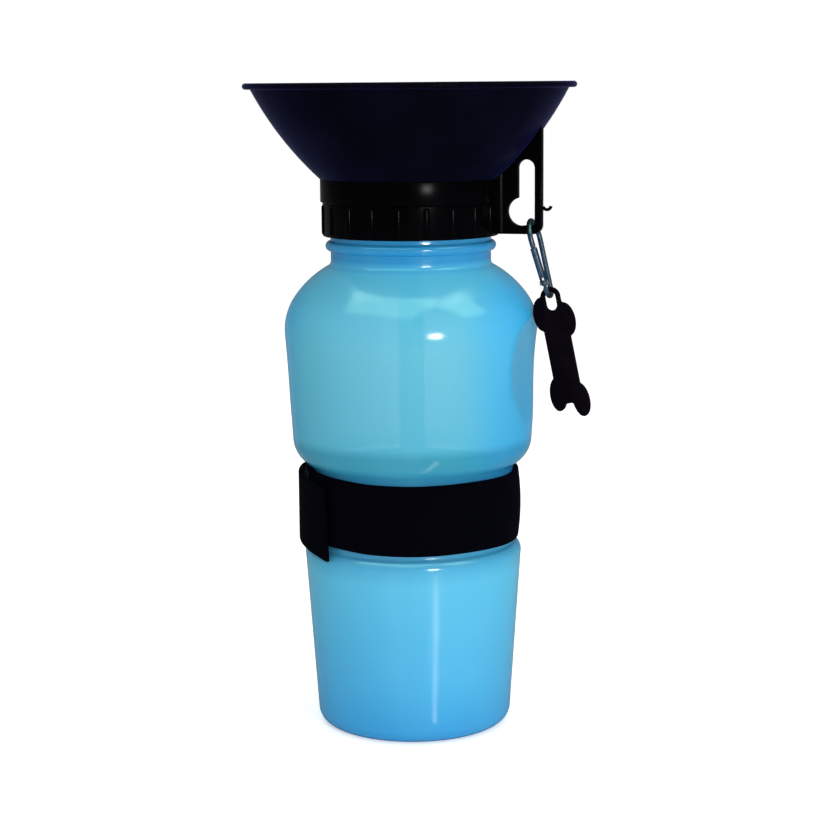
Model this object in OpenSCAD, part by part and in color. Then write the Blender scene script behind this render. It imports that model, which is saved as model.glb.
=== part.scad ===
// Squeeze-and-fill travel water bottle for dogs.
// A bowl on a screw collar closes a waisted squeeze bottle. Squeezing the bottle lifts water
// through the dip tube and the open valve into the bowl; letting go draws the rest back.
// Origin: centre of the base, on the surface that it stands on. +Z up, handle along +X.

/* [Bottle] */
// Outside radius of the lower cup just above its rounded base edge
base_r = 36.4; // [34:0.1:38]
// Rounding of the base edge
base_edge_r = 5.5; // [3:0.5:7]
// Width of the flat ring that the bottle stands on
foot_w = 2.4; // [1.5:0.1:4]
// Height of the hollow under the base
pushup_h = 3; // [1:0.5:5]
// Outside radius of the lower cup at its top
cup_r = 40.6; // [39.8:0.1:43]
// Height of the lower cup, up to the waist
cup_h = 69.6; // [60:0.2:80]
// Rounding of the lower cup's top edge
cup_edge_r = 3.6; // [2.5:0.1:4.5]
// Outside radius of the waist
waist_r = 37.6; // [36.6:0.1:38.6]
// Height of the waist
waist_h = 29.4; // [28:0.2:36]
// Outside radius of the bulge at its lower end
bulge_low_r = 44.6; // [43.6:0.1:46]
// Rounding of the bulge's lower edge
bulge_edge_r = 11; // [9.5:0.5:13]
// Outside radius of the bulge at its widest
bulge_r = 47.1; // [46:0.1:48]
// Height of the bulge from its lower rounding to its widest line
bulge_side_h = 40; // [34:0.5:46]
// Radius of the first arc of the shoulder
shoulder_r1 = 22; // [18:0.5:26]
// Angle that the first arc of the shoulder turns through
shoulder_turn = 35; // [30:1:42]
// Radius of the second, flatter arc of the shoulder
shoulder_r2 = 37; // [32:0.5:44]
// Hollow rounding at the root of the neck
neck_root_r = 2; // [1:0.2:3]
// Outside radius of the neck
neck_r = 29.6; // [28.4:0.1:30.4]
// Height of the neck above its root
neck_h = 26.4; // [25:0.2:30]
// Height of the bead's middle above the neck root
bead_rise = 5.6; // [4:0.1:6]
// Radius of the half-round bead under the collar
bead_r = 1.9; // [1:0.1:2.2]
// Wall of the bottle
wall = 1.4; // [1:0.1:2]
// Wall of the neck, which is thicker to carry the thread
neck_wall = 2.4; // [1.8:0.1:2.8]
// Radius of the shallow dents that the thumb and fingers squeeze
dent_r = 66; // [50:1:80]
// Depth of the dents
dent_depth = 3.5; // [1:0.1:4]
// Height of the dents' middle above the waist
dent_rise = 34.5; // [28:0.5:38]

/* [Collar and handle] */
// Outside radius of the collar
collar_r = 33.2; // [32.8:0.1:35]
// Height of the collar
collar_h = 20.8; // [19:0.2:24]
// Room for the thread between the neck and the collar's bore
thread_gap = 1.6; // [1.2:0.1:1.8]
// Thickness of the collar's roof
roof_t = 2.2; // [2:0.1:3]
// Radius of the hole in the roof
roof_hole_r = 24; // [22:0.1:25]
// Height of the ribbed grip band
grip_h = 12.4; // [8:0.2:14]
// Depth of the grip band below the collar's outside
grip_depth = 0.8; // [0.4:0.1:1]
// Depth of the ribs' crests below the collar's outside
rib_inset = 0.1; // [0.05:0.05:0.3]
// Radius of one grip rib
rib_r = 1.3; // [0.8:0.1:1.6]
// Number of grip ribs
rib_count = 20; // [12:1:28]
// Reach of the handle plate from the bottle's axis
plate_reach = 49.9; // [49:0.1:54]
// Thickness of the handle plate
plate_t = 3.4; // [2.6:0.1:4]
// Height of the plate's lower edge above the collar's lower edge
plate_rise = 0.8; // [0:0.1:2]
// Rounding of the plate's lower outer corner
plate_corner_r = 3.4; // [2:0.1:4]
// Width of the bar outside the slot
slot_bar = 2.7; // [2.2:0.1:4]
// Height of the bar under the slot
slot_floor = 3.3; // [2:0.1:3.6]
// Width of the slot
slot_w = 6.2; // [5:0.1:6.6]
// Height of the slot
slot_h = 23.6; // [20:0.2:25]
// Radius of the round end of the keyhole
keyhole_r = 5.1; // [4:0.1:5.4]
// Shift of the round end's middle from the slot's inner side
keyhole_shift = 1.2; // [0.8:0.1:1.6]
// Depth of the round end below the slot's floor
keyhole_sink = 0.3; // [0.1:0.1:0.6]
// Hollow rounding that carries the plate's faces over into the collar
root_r = 4.2; // [2:0.1:4.3]
// Reach of the small hook on the plate's outer edge
hook_r = 2.1; // [1.6:0.1:2.6]
// Thickness of the small hook
hook_t = 1.2; // [0.8:0.1:1.4]
// Height of the small hook above the plate's lower edge
hook_rise = 10.4; // [8:0.2:14]

/* [Bowl and valve] */
// Radius of the bowl's lip
lip_r = 61; // [60.2:0.1:66]
// Radius of the bowl's lower edge
bowl_low_r = 33.3; // [32:0.1:34.6]
// Height of the bowl
bowl_h = 34.8; // [33:0.2:40]
// Radius of curvature of the bowl's side
bowl_side_r = 121; // [100:1:180]
// Wall of the bowl
bowl_wall = 2; // [1.6:0.1:2.6]
// Thickness of the bowl's floor
floor_t = 2; // [1.6:0.1:2.6]
// Radius of the rolled edge of the lip
lip_edge_r = 1.15; // [1.05:0.05:1.3]
// Outside radius of the snap ring under the bowl
snap_ring_r = 23.8; // [20:0.1:23.9]
// Thickness of the snap ring
snap_ring_t = 2; // [1.6:0.1:2.6]
// Reach of the snap bead under the collar's roof
snap_reach = 0.7; // [0.4:0.1:0.9]
// Outside radius of the valve post
post_r = 7.4; // [7:0.1:9]
// Height of the valve post
post_h = 9.6; // [9:0.1:12]
// Radius of the bore that the valve slides in
valve_bore_r = 5.05; // [4.6:0.05:5.4]
// Travel of the valve knob
valve_travel = 4; // [3:0.1:4.2]
// Radius of the four ports at the foot of the post
port_r = 1.4; // [1:0.1:1.4]
// Radius of the valve stem
stem_r = 3.9; // [3:0.1:4.3]
// Radius of the valve knob
knob_r = 9.4; // [8:0.1:12]
// Height of the valve knob
knob_h = 6; // [5:0.1:8]
// Gap between the post and the closed valve knob
knob_gap = 0.4; // [0.2:0.1:0.8]
// Thickness of the valve seal
seal_t = 0.9; // [0.6:0.1:1.2]

/* [Dip tube and seals] */
// Outside radius of the dip tube
tube_r = 4.7; // [4:0.1:5]
// Wall of the dip tube
tube_wall = 1; // [0.8:0.1:1.4]
// Gap between the dip tube's lower end and the bottle's floor
tube_foot_gap = 6; // [4:0.5:14]
// Length of the socket that holds the dip tube
socket_h = 10; // [8:0.2:14]
// Wall of the socket
socket_wall = 1.9; // [1.4:0.1:2.6]
// Thickness of the step that the dip tube's upper end stops against
socket_step = 1.2; // [0.8:0.1:1.6]
// Thickness of the neck gasket
gasket_t = 1.5; // [1:0.1:2]
// Width of the seal ring under the bowl
ring_w = 1.8; // [1.2:0.1:2.4]
// Middle radius of the seal ring
ring_r = 28.2; // [27:0.1:29.5]
// Height of the seal ring and depth of its groove
ring_h = 1.2; // [0.8:0.1:1.4]

/* [Strap] */
// Width of the strap
strap_w = 25.6; // [20:0.2:27]
// Thickness of the webbing
strap_t = 1.7; // [1.2:0.1:2.2]
// Thickness of each fastening patch
patch_t = 0.7; // [0.5:0.1:1]
// Length of overlap of the strap's tail, as an angle
tail_turn = 71; // [50:1:90]
// Length of each fastening patch, as an angle
patch_turn = 48; // [30:1:49]
// Distance of the patches from the strap's start, as an angle
patch_start = 4; // [2:1:8]
// Distance of the patches from the strap's edges
patch_inset = 1; // [0.5:0.1:2]

/* [Clip and fob] */
// Radius of the clip's wire
wire_r = 1; // [0.8:0.05:1.1]
// Length of the clip, from the middle of its upper bow to the middle of its lower bow
clip_l = 28; // [26:0.5:34]
// Radius of the upper bow, to the middle of the wire
bow_r = 6.6; // [6:0.1:8]
// Radius of the lower bow, to the middle of the wire
toe_r = 3.6; // [3.3:0.1:4.2]
// Lean of the hanging clip from the vertical
clip_lean = 15; // [15:0.5:30]
// Radius of the gate
gate_r = 1.25; // [1.1:0.05:1.4]
// Radius of the gate's rivet
rivet_r = 0.6; // [0.45:0.05:0.7]
// Lean of the hanging fob from the vertical
fob_lean = 11.5; // [11:0.5:24]
// Thickness of the fob
fob_t = 2.4; // [1.8:0.1:2.6]
// Length of the fob below the clip's lower bow
fob_l = 45.5; // [40:0.5:50]
// Width of the fob's shank
fob_shank_w = 9.4; // [8:0.1:10]
// Half the width of the upper lobes
head_lobe_r = 3.5; // [3.2:0.1:3.7]
// Half the width of the lower lobes
foot_lobe_r = 3.1; // [2.8:0.1:3.6]
// Length of each lobe
lobe_l = 12.6; // [10:0.2:14]
// Half the spread of the lobes, to the middle of a lobe
fob_spread = 4; // [3.9:0.1:4.2]
// Turn of the lobes, outwards at their feet
lobe_turn = 3; // [0:0.5:6]
// How much lower the lobes sit on the fob's outer side, and higher on its inner side
lobe_skew = 1.6; // [0:0.1:2]
// Depth of the upper lobes' tops below the clip's wire
head_drop = 1.5; // [1:0.1:3]
// Height of the notch between the lower lobes
notch_h = 5.6; // [4:0.1:7]
// Hollow rounding where the fob's forms meet
fob_fillet_r = 0.8; // [0.4:0.1:1.2]
// Width of the fob's eye
eye_w = 4; // [3.6:0.1:4.6]
// Length of the fob's eye
eye_l = 7; // [6.4:0.1:9]
// Rim round the fob's eye
eye_rim = 1.6; // [1.4:0.1:2.2]

/* [Clearances] */
// Gap between curved faces that lie on each other
rest_gap = 0.3; // [0.2:0.05:0.4]
// Radial gap of a running fit
run_gap = 0.05; // [0.03:0.01:0.09]
// Gap between pieces that are snapped or pressed into each other
snap_gap = 0.1; // [0.05:0.05:0.2]
// Radial gap round the valve seal
seal_gap = 0.15; // [0.1:0.05:0.3]
// Gap between the strap's layers and its patches
patch_gap = 0.05; // [0.03:0.01:0.1]
// Slack of the clip's wire in the slot and of the fob's eye on the wire
hang_gap = 0.6; // [0.4:0.1:0.8]

/* [Hidden] */
$fn = 96;
cut = 0.01;
lap = 0.25;
weld = 0.02;
mouth_edge = 0.6;
neck_lead = 2.4;
slot_edge_r = 1;

// Colours
blue = [0.36, 0.72, 0.88, 0.8];
black = [0.05, 0.05, 0.07];
soft_black = [0.09, 0.08, 0.10];
steel = [0.55, 0.60, 0.66];
clear = [0.72, 0.84, 0.92, 0.8];
rubber = [0.15, 0.15, 0.16];

// Levels, from the base up
cup_taper = atan((cup_r - base_r) / (cup_h - cup_edge_r - base_edge_r));
waist_top_z = cup_h + waist_h;
bulge_edge_c = bulge_low_r - bulge_edge_r;
bulge_low_z = waist_top_z + sqrt(pow(bulge_edge_r, 2) - pow(waist_r - bulge_edge_c, 2));
bulge_z = bulge_low_z + bulge_side_h;
bulge_taper = atan((bulge_r - bulge_low_r) / bulge_side_h);
arc1_x = bulge_r - shoulder_r1;
arc2_x = arc1_x - (shoulder_r2 - shoulder_r1) * cos(shoulder_turn);
arc2_z = bulge_z - (shoulder_r2 - shoulder_r1) * sin(shoulder_turn);
root_x = neck_r + neck_root_r;
root_turn = acos((root_x - arc2_x) / (shoulder_r2 + neck_root_r));
neck_z = arc2_z + (shoulder_r2 + neck_root_r) * sin(root_turn);
mouth_z = neck_z + neck_h;
roof_low_z = mouth_z + gasket_t;
collar_top_z = roof_low_z + roof_t;
collar_low_z = collar_top_z - collar_h;
collar_bore_r = neck_r + thread_gap;
bowl_floor_z = collar_top_z + floor_t;
rim_z = collar_top_z + bowl_h;
dent_z = waist_top_z + dent_rise;
dent_side_r = bulge_low_r + (bulge_r - bulge_low_r) * (dent_z - bulge_low_z) / bulge_side_h;
dent_x = dent_side_r - dent_depth + dent_r;
foot_r = base_r - base_edge_r;

// Bowl: the side is an arc from the floor's edge up to the lip
lip_wall_r = lip_r - 2 * lip_edge_r;
side_top_z = rim_z - lip_edge_r;
side_dx = lip_wall_r - bowl_low_r;
side_dz = side_top_z - collar_top_z;
side_chord = norm([side_dx, side_dz]);
side_dist = sqrt(pow(bowl_side_r, 2) - pow(side_chord / 2, 2));
side_cx = (lip_wall_r + bowl_low_r) / 2 - side_dist * side_dz / side_chord;
side_cz = (side_top_z + collar_top_z) / 2 + side_dist * side_dx / side_chord;

// Handle plate and its keyhole
plate_z = collar_low_z + plate_rise;
slot_x1 = plate_reach - slot_bar;
slot_x0 = slot_x1 - slot_w;
slot_z0 = plate_z + slot_floor;
slot_z1 = slot_z0 + slot_h;
keyhole_x = slot_x0 + keyhole_shift;
keyhole_z = slot_z0 + keyhole_r - keyhole_sink;
hook_x = plate_reach + hook_r - 2 * lap;
hook_z = plate_z + hook_rise;
root_x0 = collar_r - 1;
root_y = plate_t / 2 + root_r;
root_cx = sqrt(pow(collar_r + root_r, 2) - pow(root_y, 2));

// Valve
seal_r = valve_bore_r - seal_gap;
foot_flange_r = valve_bore_r - run_gap;
valve_lip_t = 1.5;
lip_low_z = bowl_floor_z + post_h - valve_lip_t;
flange_top_z = lip_low_z - valve_travel;
channel_r = tube_r - tube_wall;
port_z = bowl_floor_z + port_r + snap_gap;
knob_low_z = bowl_floor_z + post_h + knob_gap;
socket_r = tube_r + run_gap + socket_wall;
tube_top_z = collar_top_z - socket_step;
tube_foot_z = pushup_h + wall + tube_foot_gap;

// Clip: straight legs touch both bows
clip_x = slot_x1 - wire_r - hang_gap - snap_gap;
clip_z = slot_z0 + wire_r + rest_gap + 2 * snap_gap;
bow_gap = clip_l - bow_r - toe_r;
leg_turn = asin((bow_r - toe_r) / bow_gap);
leg_l = bow_gap * cos(leg_turn);
nose_l = 1.6;
hinge_rise = 2.2;
hinge_s = leg_l - hinge_rise;
eye_r = 1.25;
tongue_t = 0.9;
fork_gap = tongue_t + 0.2;
rivet_head_t = 0.3;
spring_l = 7;
spring_r = 0.6;

// Fob
fob_x = clip_x + clip_l * sin(clip_lean);
fob_z = clip_z - clip_l * cos(clip_lean);
eye_y = wire_r + hang_gap - eye_w / 2;
head_y = -head_drop - lobe_l / 2;
foot_y = lobe_skew + lobe_l / 2 - fob_l;
notch_y = notch_h - fob_l;

// Strap: one spiral turn that climbs on to its own start
strap_z = cup_h + (waist_h - strap_w) / 2;
strap_in_r = waist_r + rest_gap + strap_t / 2;
strap_lift = strap_t + 2 * patch_t + 3 * patch_gap;
strap_start = 160;
strap_climb = 42;
strap_turn = 360 + tail_turn;
strap_step = 4;

// --- Helpers ---------------------------------------------------------------------------

// Points of an arc about [x, y], from angle a to angle b in n steps
function arc(x, y, r, a, b, n) =
    [for (i = [0:n]) [x + r * cos(a + (b - a) * i / n), y + r * sin(a + (b - a) * i / n)]];

// Angle at which an arc of radius r about x reaches the radius to, or 90 where it doesn't
function reach(x, r, to) = to > x ? acos(min(1, (to - x) / r)) : 90;

// Side of the bottle from its base edge to its neck root, moved inwards by o
function bottle_side(o) = concat(
    arc(foot_r, base_edge_r, base_edge_r - o, -90, -cup_taper, 8),
    arc(cup_r - cup_edge_r, cup_h - cup_edge_r, cup_edge_r - o, -cup_taper,
        reach(cup_r - cup_edge_r, cup_edge_r - o, waist_r - o), 6),
    [[waist_r - o, cup_h - cup_edge_r + (cup_edge_r - o)
        * sin(reach(cup_r - cup_edge_r, cup_edge_r - o, waist_r - o))]],
    arc(bulge_edge_c, bulge_low_z, bulge_edge_r - o,
        -reach(bulge_edge_c, bulge_edge_r - o, waist_r - o), -bulge_taper, 8),
    arc(arc1_x, bulge_z, shoulder_r1 - o, -bulge_taper, shoulder_turn, 8),
    arc(arc2_x, arc2_z, shoulder_r2 - o, shoulder_turn, root_turn, 6),
    arc(root_x, neck_z, neck_root_r + o, 180 + root_turn, 180, 4)
);

// Hollow under the base, from the middle to the foot ring, raised by o
function base_dome(o) =
    let (r = foot_r - foot_w, big = (r * r + pushup_h * pushup_h) / (2 * pushup_h))
    arc(0, pushup_h - big + o, big, 90, 90 - asin(r / big), 6);

// Outline of the bowl's outer side, moved outwards by o
function bowl_side(o) =
    let (r = bowl_side_r + o)
    arc(side_cx, side_cz, r, atan2(collar_top_z - side_cz, bowl_low_r - side_cx),
        atan2(side_top_z - side_cz, lip_wall_r - side_cx), 14);

// Middle radius of the strap at an angle from its start
function strap_r(t) =
    let (k = max(0, min(1, (t - 360 + strap_climb) / strap_climb)))
    strap_in_r + strap_lift * k * k * (3 - 2 * k);

// Point of the strap's middle line, moved outwards by o
function strap_at(t, o) =
    (strap_r(t) + o) * [cos(strap_start + t), sin(strap_start + t)];

// Outline of a band that follows the strap from angle a to angle b, between offsets o1 and o2
module band(a, b, o1, o2) {
    n = ceil((b - a) / strap_step);
    turn = [for (i = [0:n]) a + (b - a) * i / n];
    polygon(concat(
        [for (t = turn) strap_at(t, o2)],
        [for (i = [n:-1:0]) strap_at(turn[i], o1)]
    ));
}

// A ring of rectangular section
module ring(inner, outer, h) {
    difference() {
        cylinder(r = outer, h = h);
        translate([0, 0, -cut]) cylinder(r = inner, h = h + 2 * cut);
    }
}

// A flat shape in the XZ plane, given thickness t about y = 0
module upright(t) {
    translate([0, t / 2, 0]) rotate([90, 0, 0]) linear_extrude(height = t) children();
}

// --- Bottle ------------------------------------------------------------------------------

module dents(grow) {
    for (side = [-1, 1])
        translate([side * dent_x, 0, dent_z]) rotate([90, 0, 0])
            cylinder(r = dent_r + grow, h = 4 * bulge_r, center = true, $fn = 180);
}

module bottle() {
    neck_in_r = neck_r - neck_wall;
    color(blue) difference() {
        rotate_extrude() {
            polygon(concat(base_dome(0), bottle_side(0),
                [[neck_r, mouth_z - mouth_edge], [neck_r - mouth_edge, mouth_z], [0, mouth_z]]));
            translate([neck_r, neck_z + bead_rise]) circle(r = bead_r, $fn = 40);
        }
        difference() {
            rotate_extrude()
                polygon(concat(base_dome(wall), bottle_side(wall), [
                    [neck_r - wall, neck_z + mouth_edge], [neck_in_r, neck_z + neck_lead],
                    [neck_in_r, mouth_z + 1], [0, mouth_z + 1]]));
            dents(wall);
        }
        dents(0);
    }
}

// --- Strap -------------------------------------------------------------------------------

module strap_band() {
    color(black) translate([0, 0, strap_z]) linear_extrude(height = strap_w)
        band(0, strap_turn, -strap_t / 2, strap_t / 2);
}

// The loop patch lies on the strap's start, the hook patch under its tail
module strap_loop_patch() {
    low = strap_t / 2 + patch_gap;
    color(soft_black) translate([0, 0, strap_z + patch_inset])
        linear_extrude(height = strap_w - 2 * patch_inset)
        band(patch_start, patch_start + patch_turn, low, low + patch_t);
}

module strap_hook_patch() {
    low = strap_t / 2 + 2 * patch_gap + patch_t;
    color(soft_black) translate([0, 0, strap_z + patch_inset])
        linear_extrude(height = strap_w - 2 * patch_inset)
        band(patch_start, patch_start + patch_turn, low, low + patch_t);
}

// --- Dip tube and seals ------------------------------------------------------------------

module dip_tube() {
    color(clear) translate([0, 0, tube_foot_z])
        ring(tube_r - tube_wall, tube_r, tube_top_z - tube_foot_z);
}

module neck_gasket() {
    color(rubber) translate([0, 0, mouth_z])
        ring(neck_r - neck_wall - 1, neck_r + 0.6, gasket_t);
}

module bowl_seal_ring() {
    color(rubber) translate([0, 0, collar_top_z - ring_h])
        ring(ring_r - ring_w / 2, ring_r + ring_w / 2, ring_h);
}

// --- Collar with its handle plate --------------------------------------------------------

// Keyhole: a round-topped slot with a round bulge at its lower inner side
module keyhole() {
    r = slot_w / 2;
    translate([slot_x0 + r, slot_z1 - r]) circle(r = r);
    translate([slot_x0, slot_z0 + slot_edge_r]) square([slot_w, slot_h - r - slot_edge_r]);
    translate([keyhole_x, slot_z0])
        square([slot_x1 - keyhole_x - slot_edge_r, 2 * slot_edge_r]);
    translate([slot_x1 - slot_edge_r, slot_z0 + slot_edge_r]) circle(r = slot_edge_r);
    translate([keyhole_x, keyhole_z]) circle(r = keyhole_r);
}

module plate_outline() {
    r = plate_corner_r;
    x0 = root_x0;
    difference() {
        union() {
            translate([x0, plate_z]) square([plate_reach - x0 - r, rim_z - plate_z]);
            translate([x0, plate_z + r]) square([plate_reach - x0, rim_z - plate_z - r]);
            translate([plate_reach - r, plate_z + r]) circle(r = r);
        }
        keyhole();
    }
}

// Small upturned hook on the outer edge
module hook_outline() {
    difference() {
        translate([hook_x, hook_z]) circle(r = hook_r);
        translate([hook_x, hook_z]) circle(r = hook_r - hook_t);
        translate([hook_x - 2 * hook_r, hook_z]) square(4 * hook_r);
    }
}

// Plan of the hollow roundings on both sides of the plate, which touch plate and collar
module root_outline() {
    touch = collar_r / (collar_r + root_r);
    for (side = [-1, 1])
        difference() {
            polygon([[root_x0, 0], [root_cx, 0], [root_cx, side * root_y],
                touch * [root_cx, side * root_y]]);
            translate([root_cx, side * root_y]) circle(r = root_r, $fn = 64);
        }
}

// Handle plate: its top follows the underside of the bowl
module handle_plate() {
    difference() {
        union() {
            upright(plate_t) plate_outline();
            translate([0, 0, plate_z]) linear_extrude(height = rim_z - plate_z) root_outline();
        }
        rotate_extrude()
            polygon(concat([[0, collar_top_z - 0.3]], bowl_side(snap_gap),
                [[lip_r + 4, side_top_z], [lip_r + 4, rim_z + 4], [0, rim_z + 4]]));
    }
    upright(plate_t * 0.6) hook_outline();
}

module screw_collar() {
    color(black) difference() {
        union() {
            translate([0, 0, collar_low_z]) linear_extrude(height = grip_h) {
                circle(r = collar_r - grip_depth);
                for (i = [0:rib_count - 1])
                    rotate((i + 0.5) * 360 / rib_count)
                        translate([collar_r - rib_inset - rib_r, 0])
                            circle(r = rib_r, $fn = 24);
            }
            translate([0, 0, collar_low_z + grip_h])
                cylinder(r = collar_r, h = collar_h - grip_h);
            handle_plate();
        }
        translate([0, 0, collar_low_z - 1])
            cylinder(r = collar_bore_r, h = roof_low_z - collar_low_z + 1);
        translate([0, 0, roof_low_z - 1]) cylinder(r = roof_hole_r, h = roof_t + 2);
        translate([0, 0, collar_top_z - ring_h])
            ring(ring_r - ring_w / 2 - snap_gap, ring_r + ring_w / 2 + snap_gap, 2);
    }
}

// --- Bowl --------------------------------------------------------------------------------

module bowl() {
    inner = bowl_side_r - bowl_wall;
    floor_turn = asin((bowl_floor_z - side_cz) / inner);
    top_turn = atan2(side_top_z - side_cz, lip_wall_r - side_cx);
    color(black) difference() {
        union() {
            rotate_extrude() {
                polygon(concat([[0, collar_top_z]], bowl_side(0), [[lip_wall_r, rim_z]],
                    [[lip_wall_r - bowl_wall, rim_z]],
                    arc(side_cx, side_cz, inner, top_turn, floor_turn, 14),
                    [[0, bowl_floor_z]]));
                translate([lip_r - lip_edge_r, rim_z - lip_edge_r])
                    circle(r = lip_edge_r, $fn = 32);
                translate([lip_wall_r - bowl_wall, rim_z - 2 * lip_edge_r])
                    square([bowl_wall + lip_edge_r, 2 * lip_edge_r]);
            }
            // Snap ring through the collar's roof, with its bead
            translate([0, 0, roof_low_z - 3]) rotate_extrude()
                polygon([
                    [snap_ring_r - snap_ring_t, 0], [snap_ring_r - 0.6, 0],
                    [roof_hole_r + snap_reach, 3 - snap_gap - 1],
                    [roof_hole_r + snap_reach, 3 - snap_gap],
                    [snap_ring_r, 3 - snap_gap], [snap_ring_r, 3 + roof_t + cut],
                    [snap_ring_r - snap_ring_t, 3 + roof_t + cut]]);
            translate([0, 0, collar_top_z - socket_h]) cylinder(r = socket_r, h = socket_h);
            translate([0, 0, collar_top_z]) cylinder(r = post_r, h = floor_t + post_h);
        }
        translate([0, 0, collar_top_z - socket_h - 1])
            cylinder(r = tube_r + run_gap, h = socket_h + 1 - socket_step + snap_gap);
        translate([0, 0, collar_top_z - 2]) cylinder(r = channel_r, h = floor_t + 3);
        translate([0, 0, bowl_floor_z]) cylinder(r = valve_bore_r, h = lip_low_z - bowl_floor_z);
        translate([0, 0, lip_low_z - 1]) cylinder(r = stem_r + run_gap, h = valve_lip_t + 2);
        for (a = [45:90:315])
            rotate(a) translate([0, 0, port_z]) rotate([0, 90, 0])
                cylinder(r = port_r, h = post_r + 1, $fn = 32);
    }
}

// --- Valve -------------------------------------------------------------------------------

module valve_knob() {
    flange_low_z = bowl_floor_z + seal_t;
    edge = 1.2;
    crown = 1.6;
    big = (pow(knob_r - edge, 2) + crown * crown) / (2 * crown);
    color(black) {
        translate([0, 0, flange_low_z])
            cylinder(r = foot_flange_r, h = flange_top_z - flange_low_z);
        translate([0, 0, flange_top_z - cut])
            cylinder(r = stem_r, h = knob_low_z - flange_top_z + 1);
        translate([0, 0, knob_low_z]) rotate_extrude()
            polygon(concat([[0, 0], [knob_r - 1.6, 0], [knob_r, 1]],
                arc(knob_r - edge, knob_h - crown - edge, edge, 0, 75, 4),
                arc(0, knob_h - big, big, 90 - asin((knob_r - edge) / big), 90, 6)));
    }
}

module valve_seal() {
    color(rubber) translate([0, 0, bowl_floor_z]) cylinder(r = seal_r, h = seal_t);
}

// --- Clip --------------------------------------------------------------------------------

// Places children in the clip's own frame: origin in the upper bow's wire, -Z along the clip
module on_clip() {
    translate([clip_x, 0, clip_z]) rotate([0, -clip_lean, 0]) children();
}

// An arc of the wire about [0, z], from angle a to b, measured from straight down to +Y
module wire_arc(z, r, a, b) {
    translate([0, 0, z]) rotate([0, 90, 0]) rotate([0, 0, a])
        rotate_extrude(angle = b - a) translate([r, 0]) circle(r = wire_r, $fn = 32);
}

// Places children on a leg (side is 1 or -1) at its upper end, with -Z down the leg
module on_leg(side) {
    translate([0, side * bow_r * cos(leg_turn), -bow_r - bow_r * sin(leg_turn)])
        rotate([-side * leg_turn, 0, 0]) children();
}

module clip_frame() {
    top = 90 - leg_turn;
    color(steel) on_clip() {
        wire_arc(-bow_r, bow_r, top, 360 - top);
        wire_arc(toe_r - clip_l, toe_r, -top, top);
        on_leg(1) translate([0, 0, -leg_l - lap])
            cylinder(r = wire_r - weld, h = leg_l + 2 * lap, $fn = 32);
        on_leg(-1) {
            translate([0, 0, -nose_l]) cylinder(r = wire_r - weld, h = nose_l + lap, $fn = 32);
            // Flat tongue that the gate's fork straddles
            difference() {
                union() {
                    translate([-tongue_t / 2, -wire_r + 0.1, -leg_l - 0.3])
                        cube([tongue_t, 2 * wire_r - 0.2, leg_l + 0.3 - hinge_s]);
                    translate([0, 0, -hinge_s]) rotate([0, 90, 0])
                        cylinder(r = wire_r, h = tongue_t, center = true, $fn = 32);
                }
                translate([0, 0, -hinge_s]) rotate([0, 90, 0])
                    cylinder(r = rivet_r + 0.03, h = 2, center = true, $fn = 32);
            }
        }
    }
}

module clip_gate() {
    nose_z = -nose_l - rest_gap;
    color(steel) on_clip() on_leg(-1) difference() {
        union() {
            translate([0, 0, -hinge_s]) cylinder(r = gate_r, h = hinge_s + nose_z, $fn = 32);
            translate([0, 0, -hinge_s]) rotate([0, 90, 0])
                cylinder(r = eye_r, h = 2 * gate_r, center = true, $fn = 32);
        }
        translate([-fork_gap / 2, -2, -hinge_s - 2]) cube([fork_gap, 4, 4.2]);
        translate([0, 0, -hinge_s + 2]) cylinder(r = spring_r + run_gap, h = spring_l + 1, $fn = 24);
        translate([0, 0, -hinge_s]) rotate([0, 90, 0])
            cylinder(r = rivet_r + run_gap, h = 6, center = true, $fn = 32);
    }
}

module gate_rivet() {
    color(steel) on_clip() on_leg(-1) translate([0, 0, -hinge_s]) rotate([0, 90, 0]) {
        cylinder(r = rivet_r, h = 2 * gate_r + 0.2, center = true, $fn = 32);
        for (side = [-1, 1])
            translate([0, 0, side * (gate_r + 0.1 + rivet_head_t / 2)])
                cylinder(r = rivet_r + 0.3, h = rivet_head_t, center = true, $fn = 32);
    }
}

module gate_spring() {
    color(steel) on_clip() on_leg(-1) translate([0, 0, -hinge_s + 2.4])
        ring(spring_r - 0.25, spring_r, spring_l);
}

// --- Fob ---------------------------------------------------------------------------------

// An oval lobe about [x, y], in the bone's own frame: origin in the clip's lower wire, -Y down
function lobe(x, y, r, turn) = [
    for (a = [0:12:348])
        let (u = r * cos(a), v = lobe_l / 2 * sin(a))
        [x + u * cos(turn) - v * sin(turn), y + u * sin(turn) + v * cos(turn)]
];

module bone_blank() {
    rim_r = eye_w / 2 + eye_rim;
    translate([0, eye_y]) circle(r = rim_r, $fn = 48);
    translate([-rim_r, head_y]) square([2 * rim_r, eye_y - head_y]);
    translate([-fob_shank_w / 2, notch_y]) square([fob_shank_w, head_y - notch_y]);
    for (side = [-1, 1]) {
        x = side * fob_spread;
        drop = side * lobe_skew;
        polygon(lobe(x, head_y - drop, head_lobe_r, side * lobe_turn));
        polygon(lobe(x, foot_y - drop, foot_lobe_r, side * lobe_turn));
    }
}

module bone_outline() {
    low_y = eye_y - eye_l + eye_w;
    difference() {
        offset(r = -fob_fillet_r, $fn = 32) offset(delta = fob_fillet_r) bone_blank();
        polygon(concat(arc(0, eye_y, eye_w / 2, 0, 180, 12),
            arc(0, low_y, eye_w / 2, 180, 360, 12)));
    }
}

module bone_fob() {
    color(soft_black) translate([fob_x, 0, fob_z]) rotate([0, -fob_lean, 0])
        upright(fob_t) bone_outline();
}

bottle();
strap_band();
strap_hook_patch();
strap_loop_patch();
dip_tube();
neck_gasket();
screw_collar();
bowl();
bowl_seal_ring();
valve_knob();
valve_seal();
clip_frame();
clip_gate();
gate_rivet();
gate_spring();
bone_fob();
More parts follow.
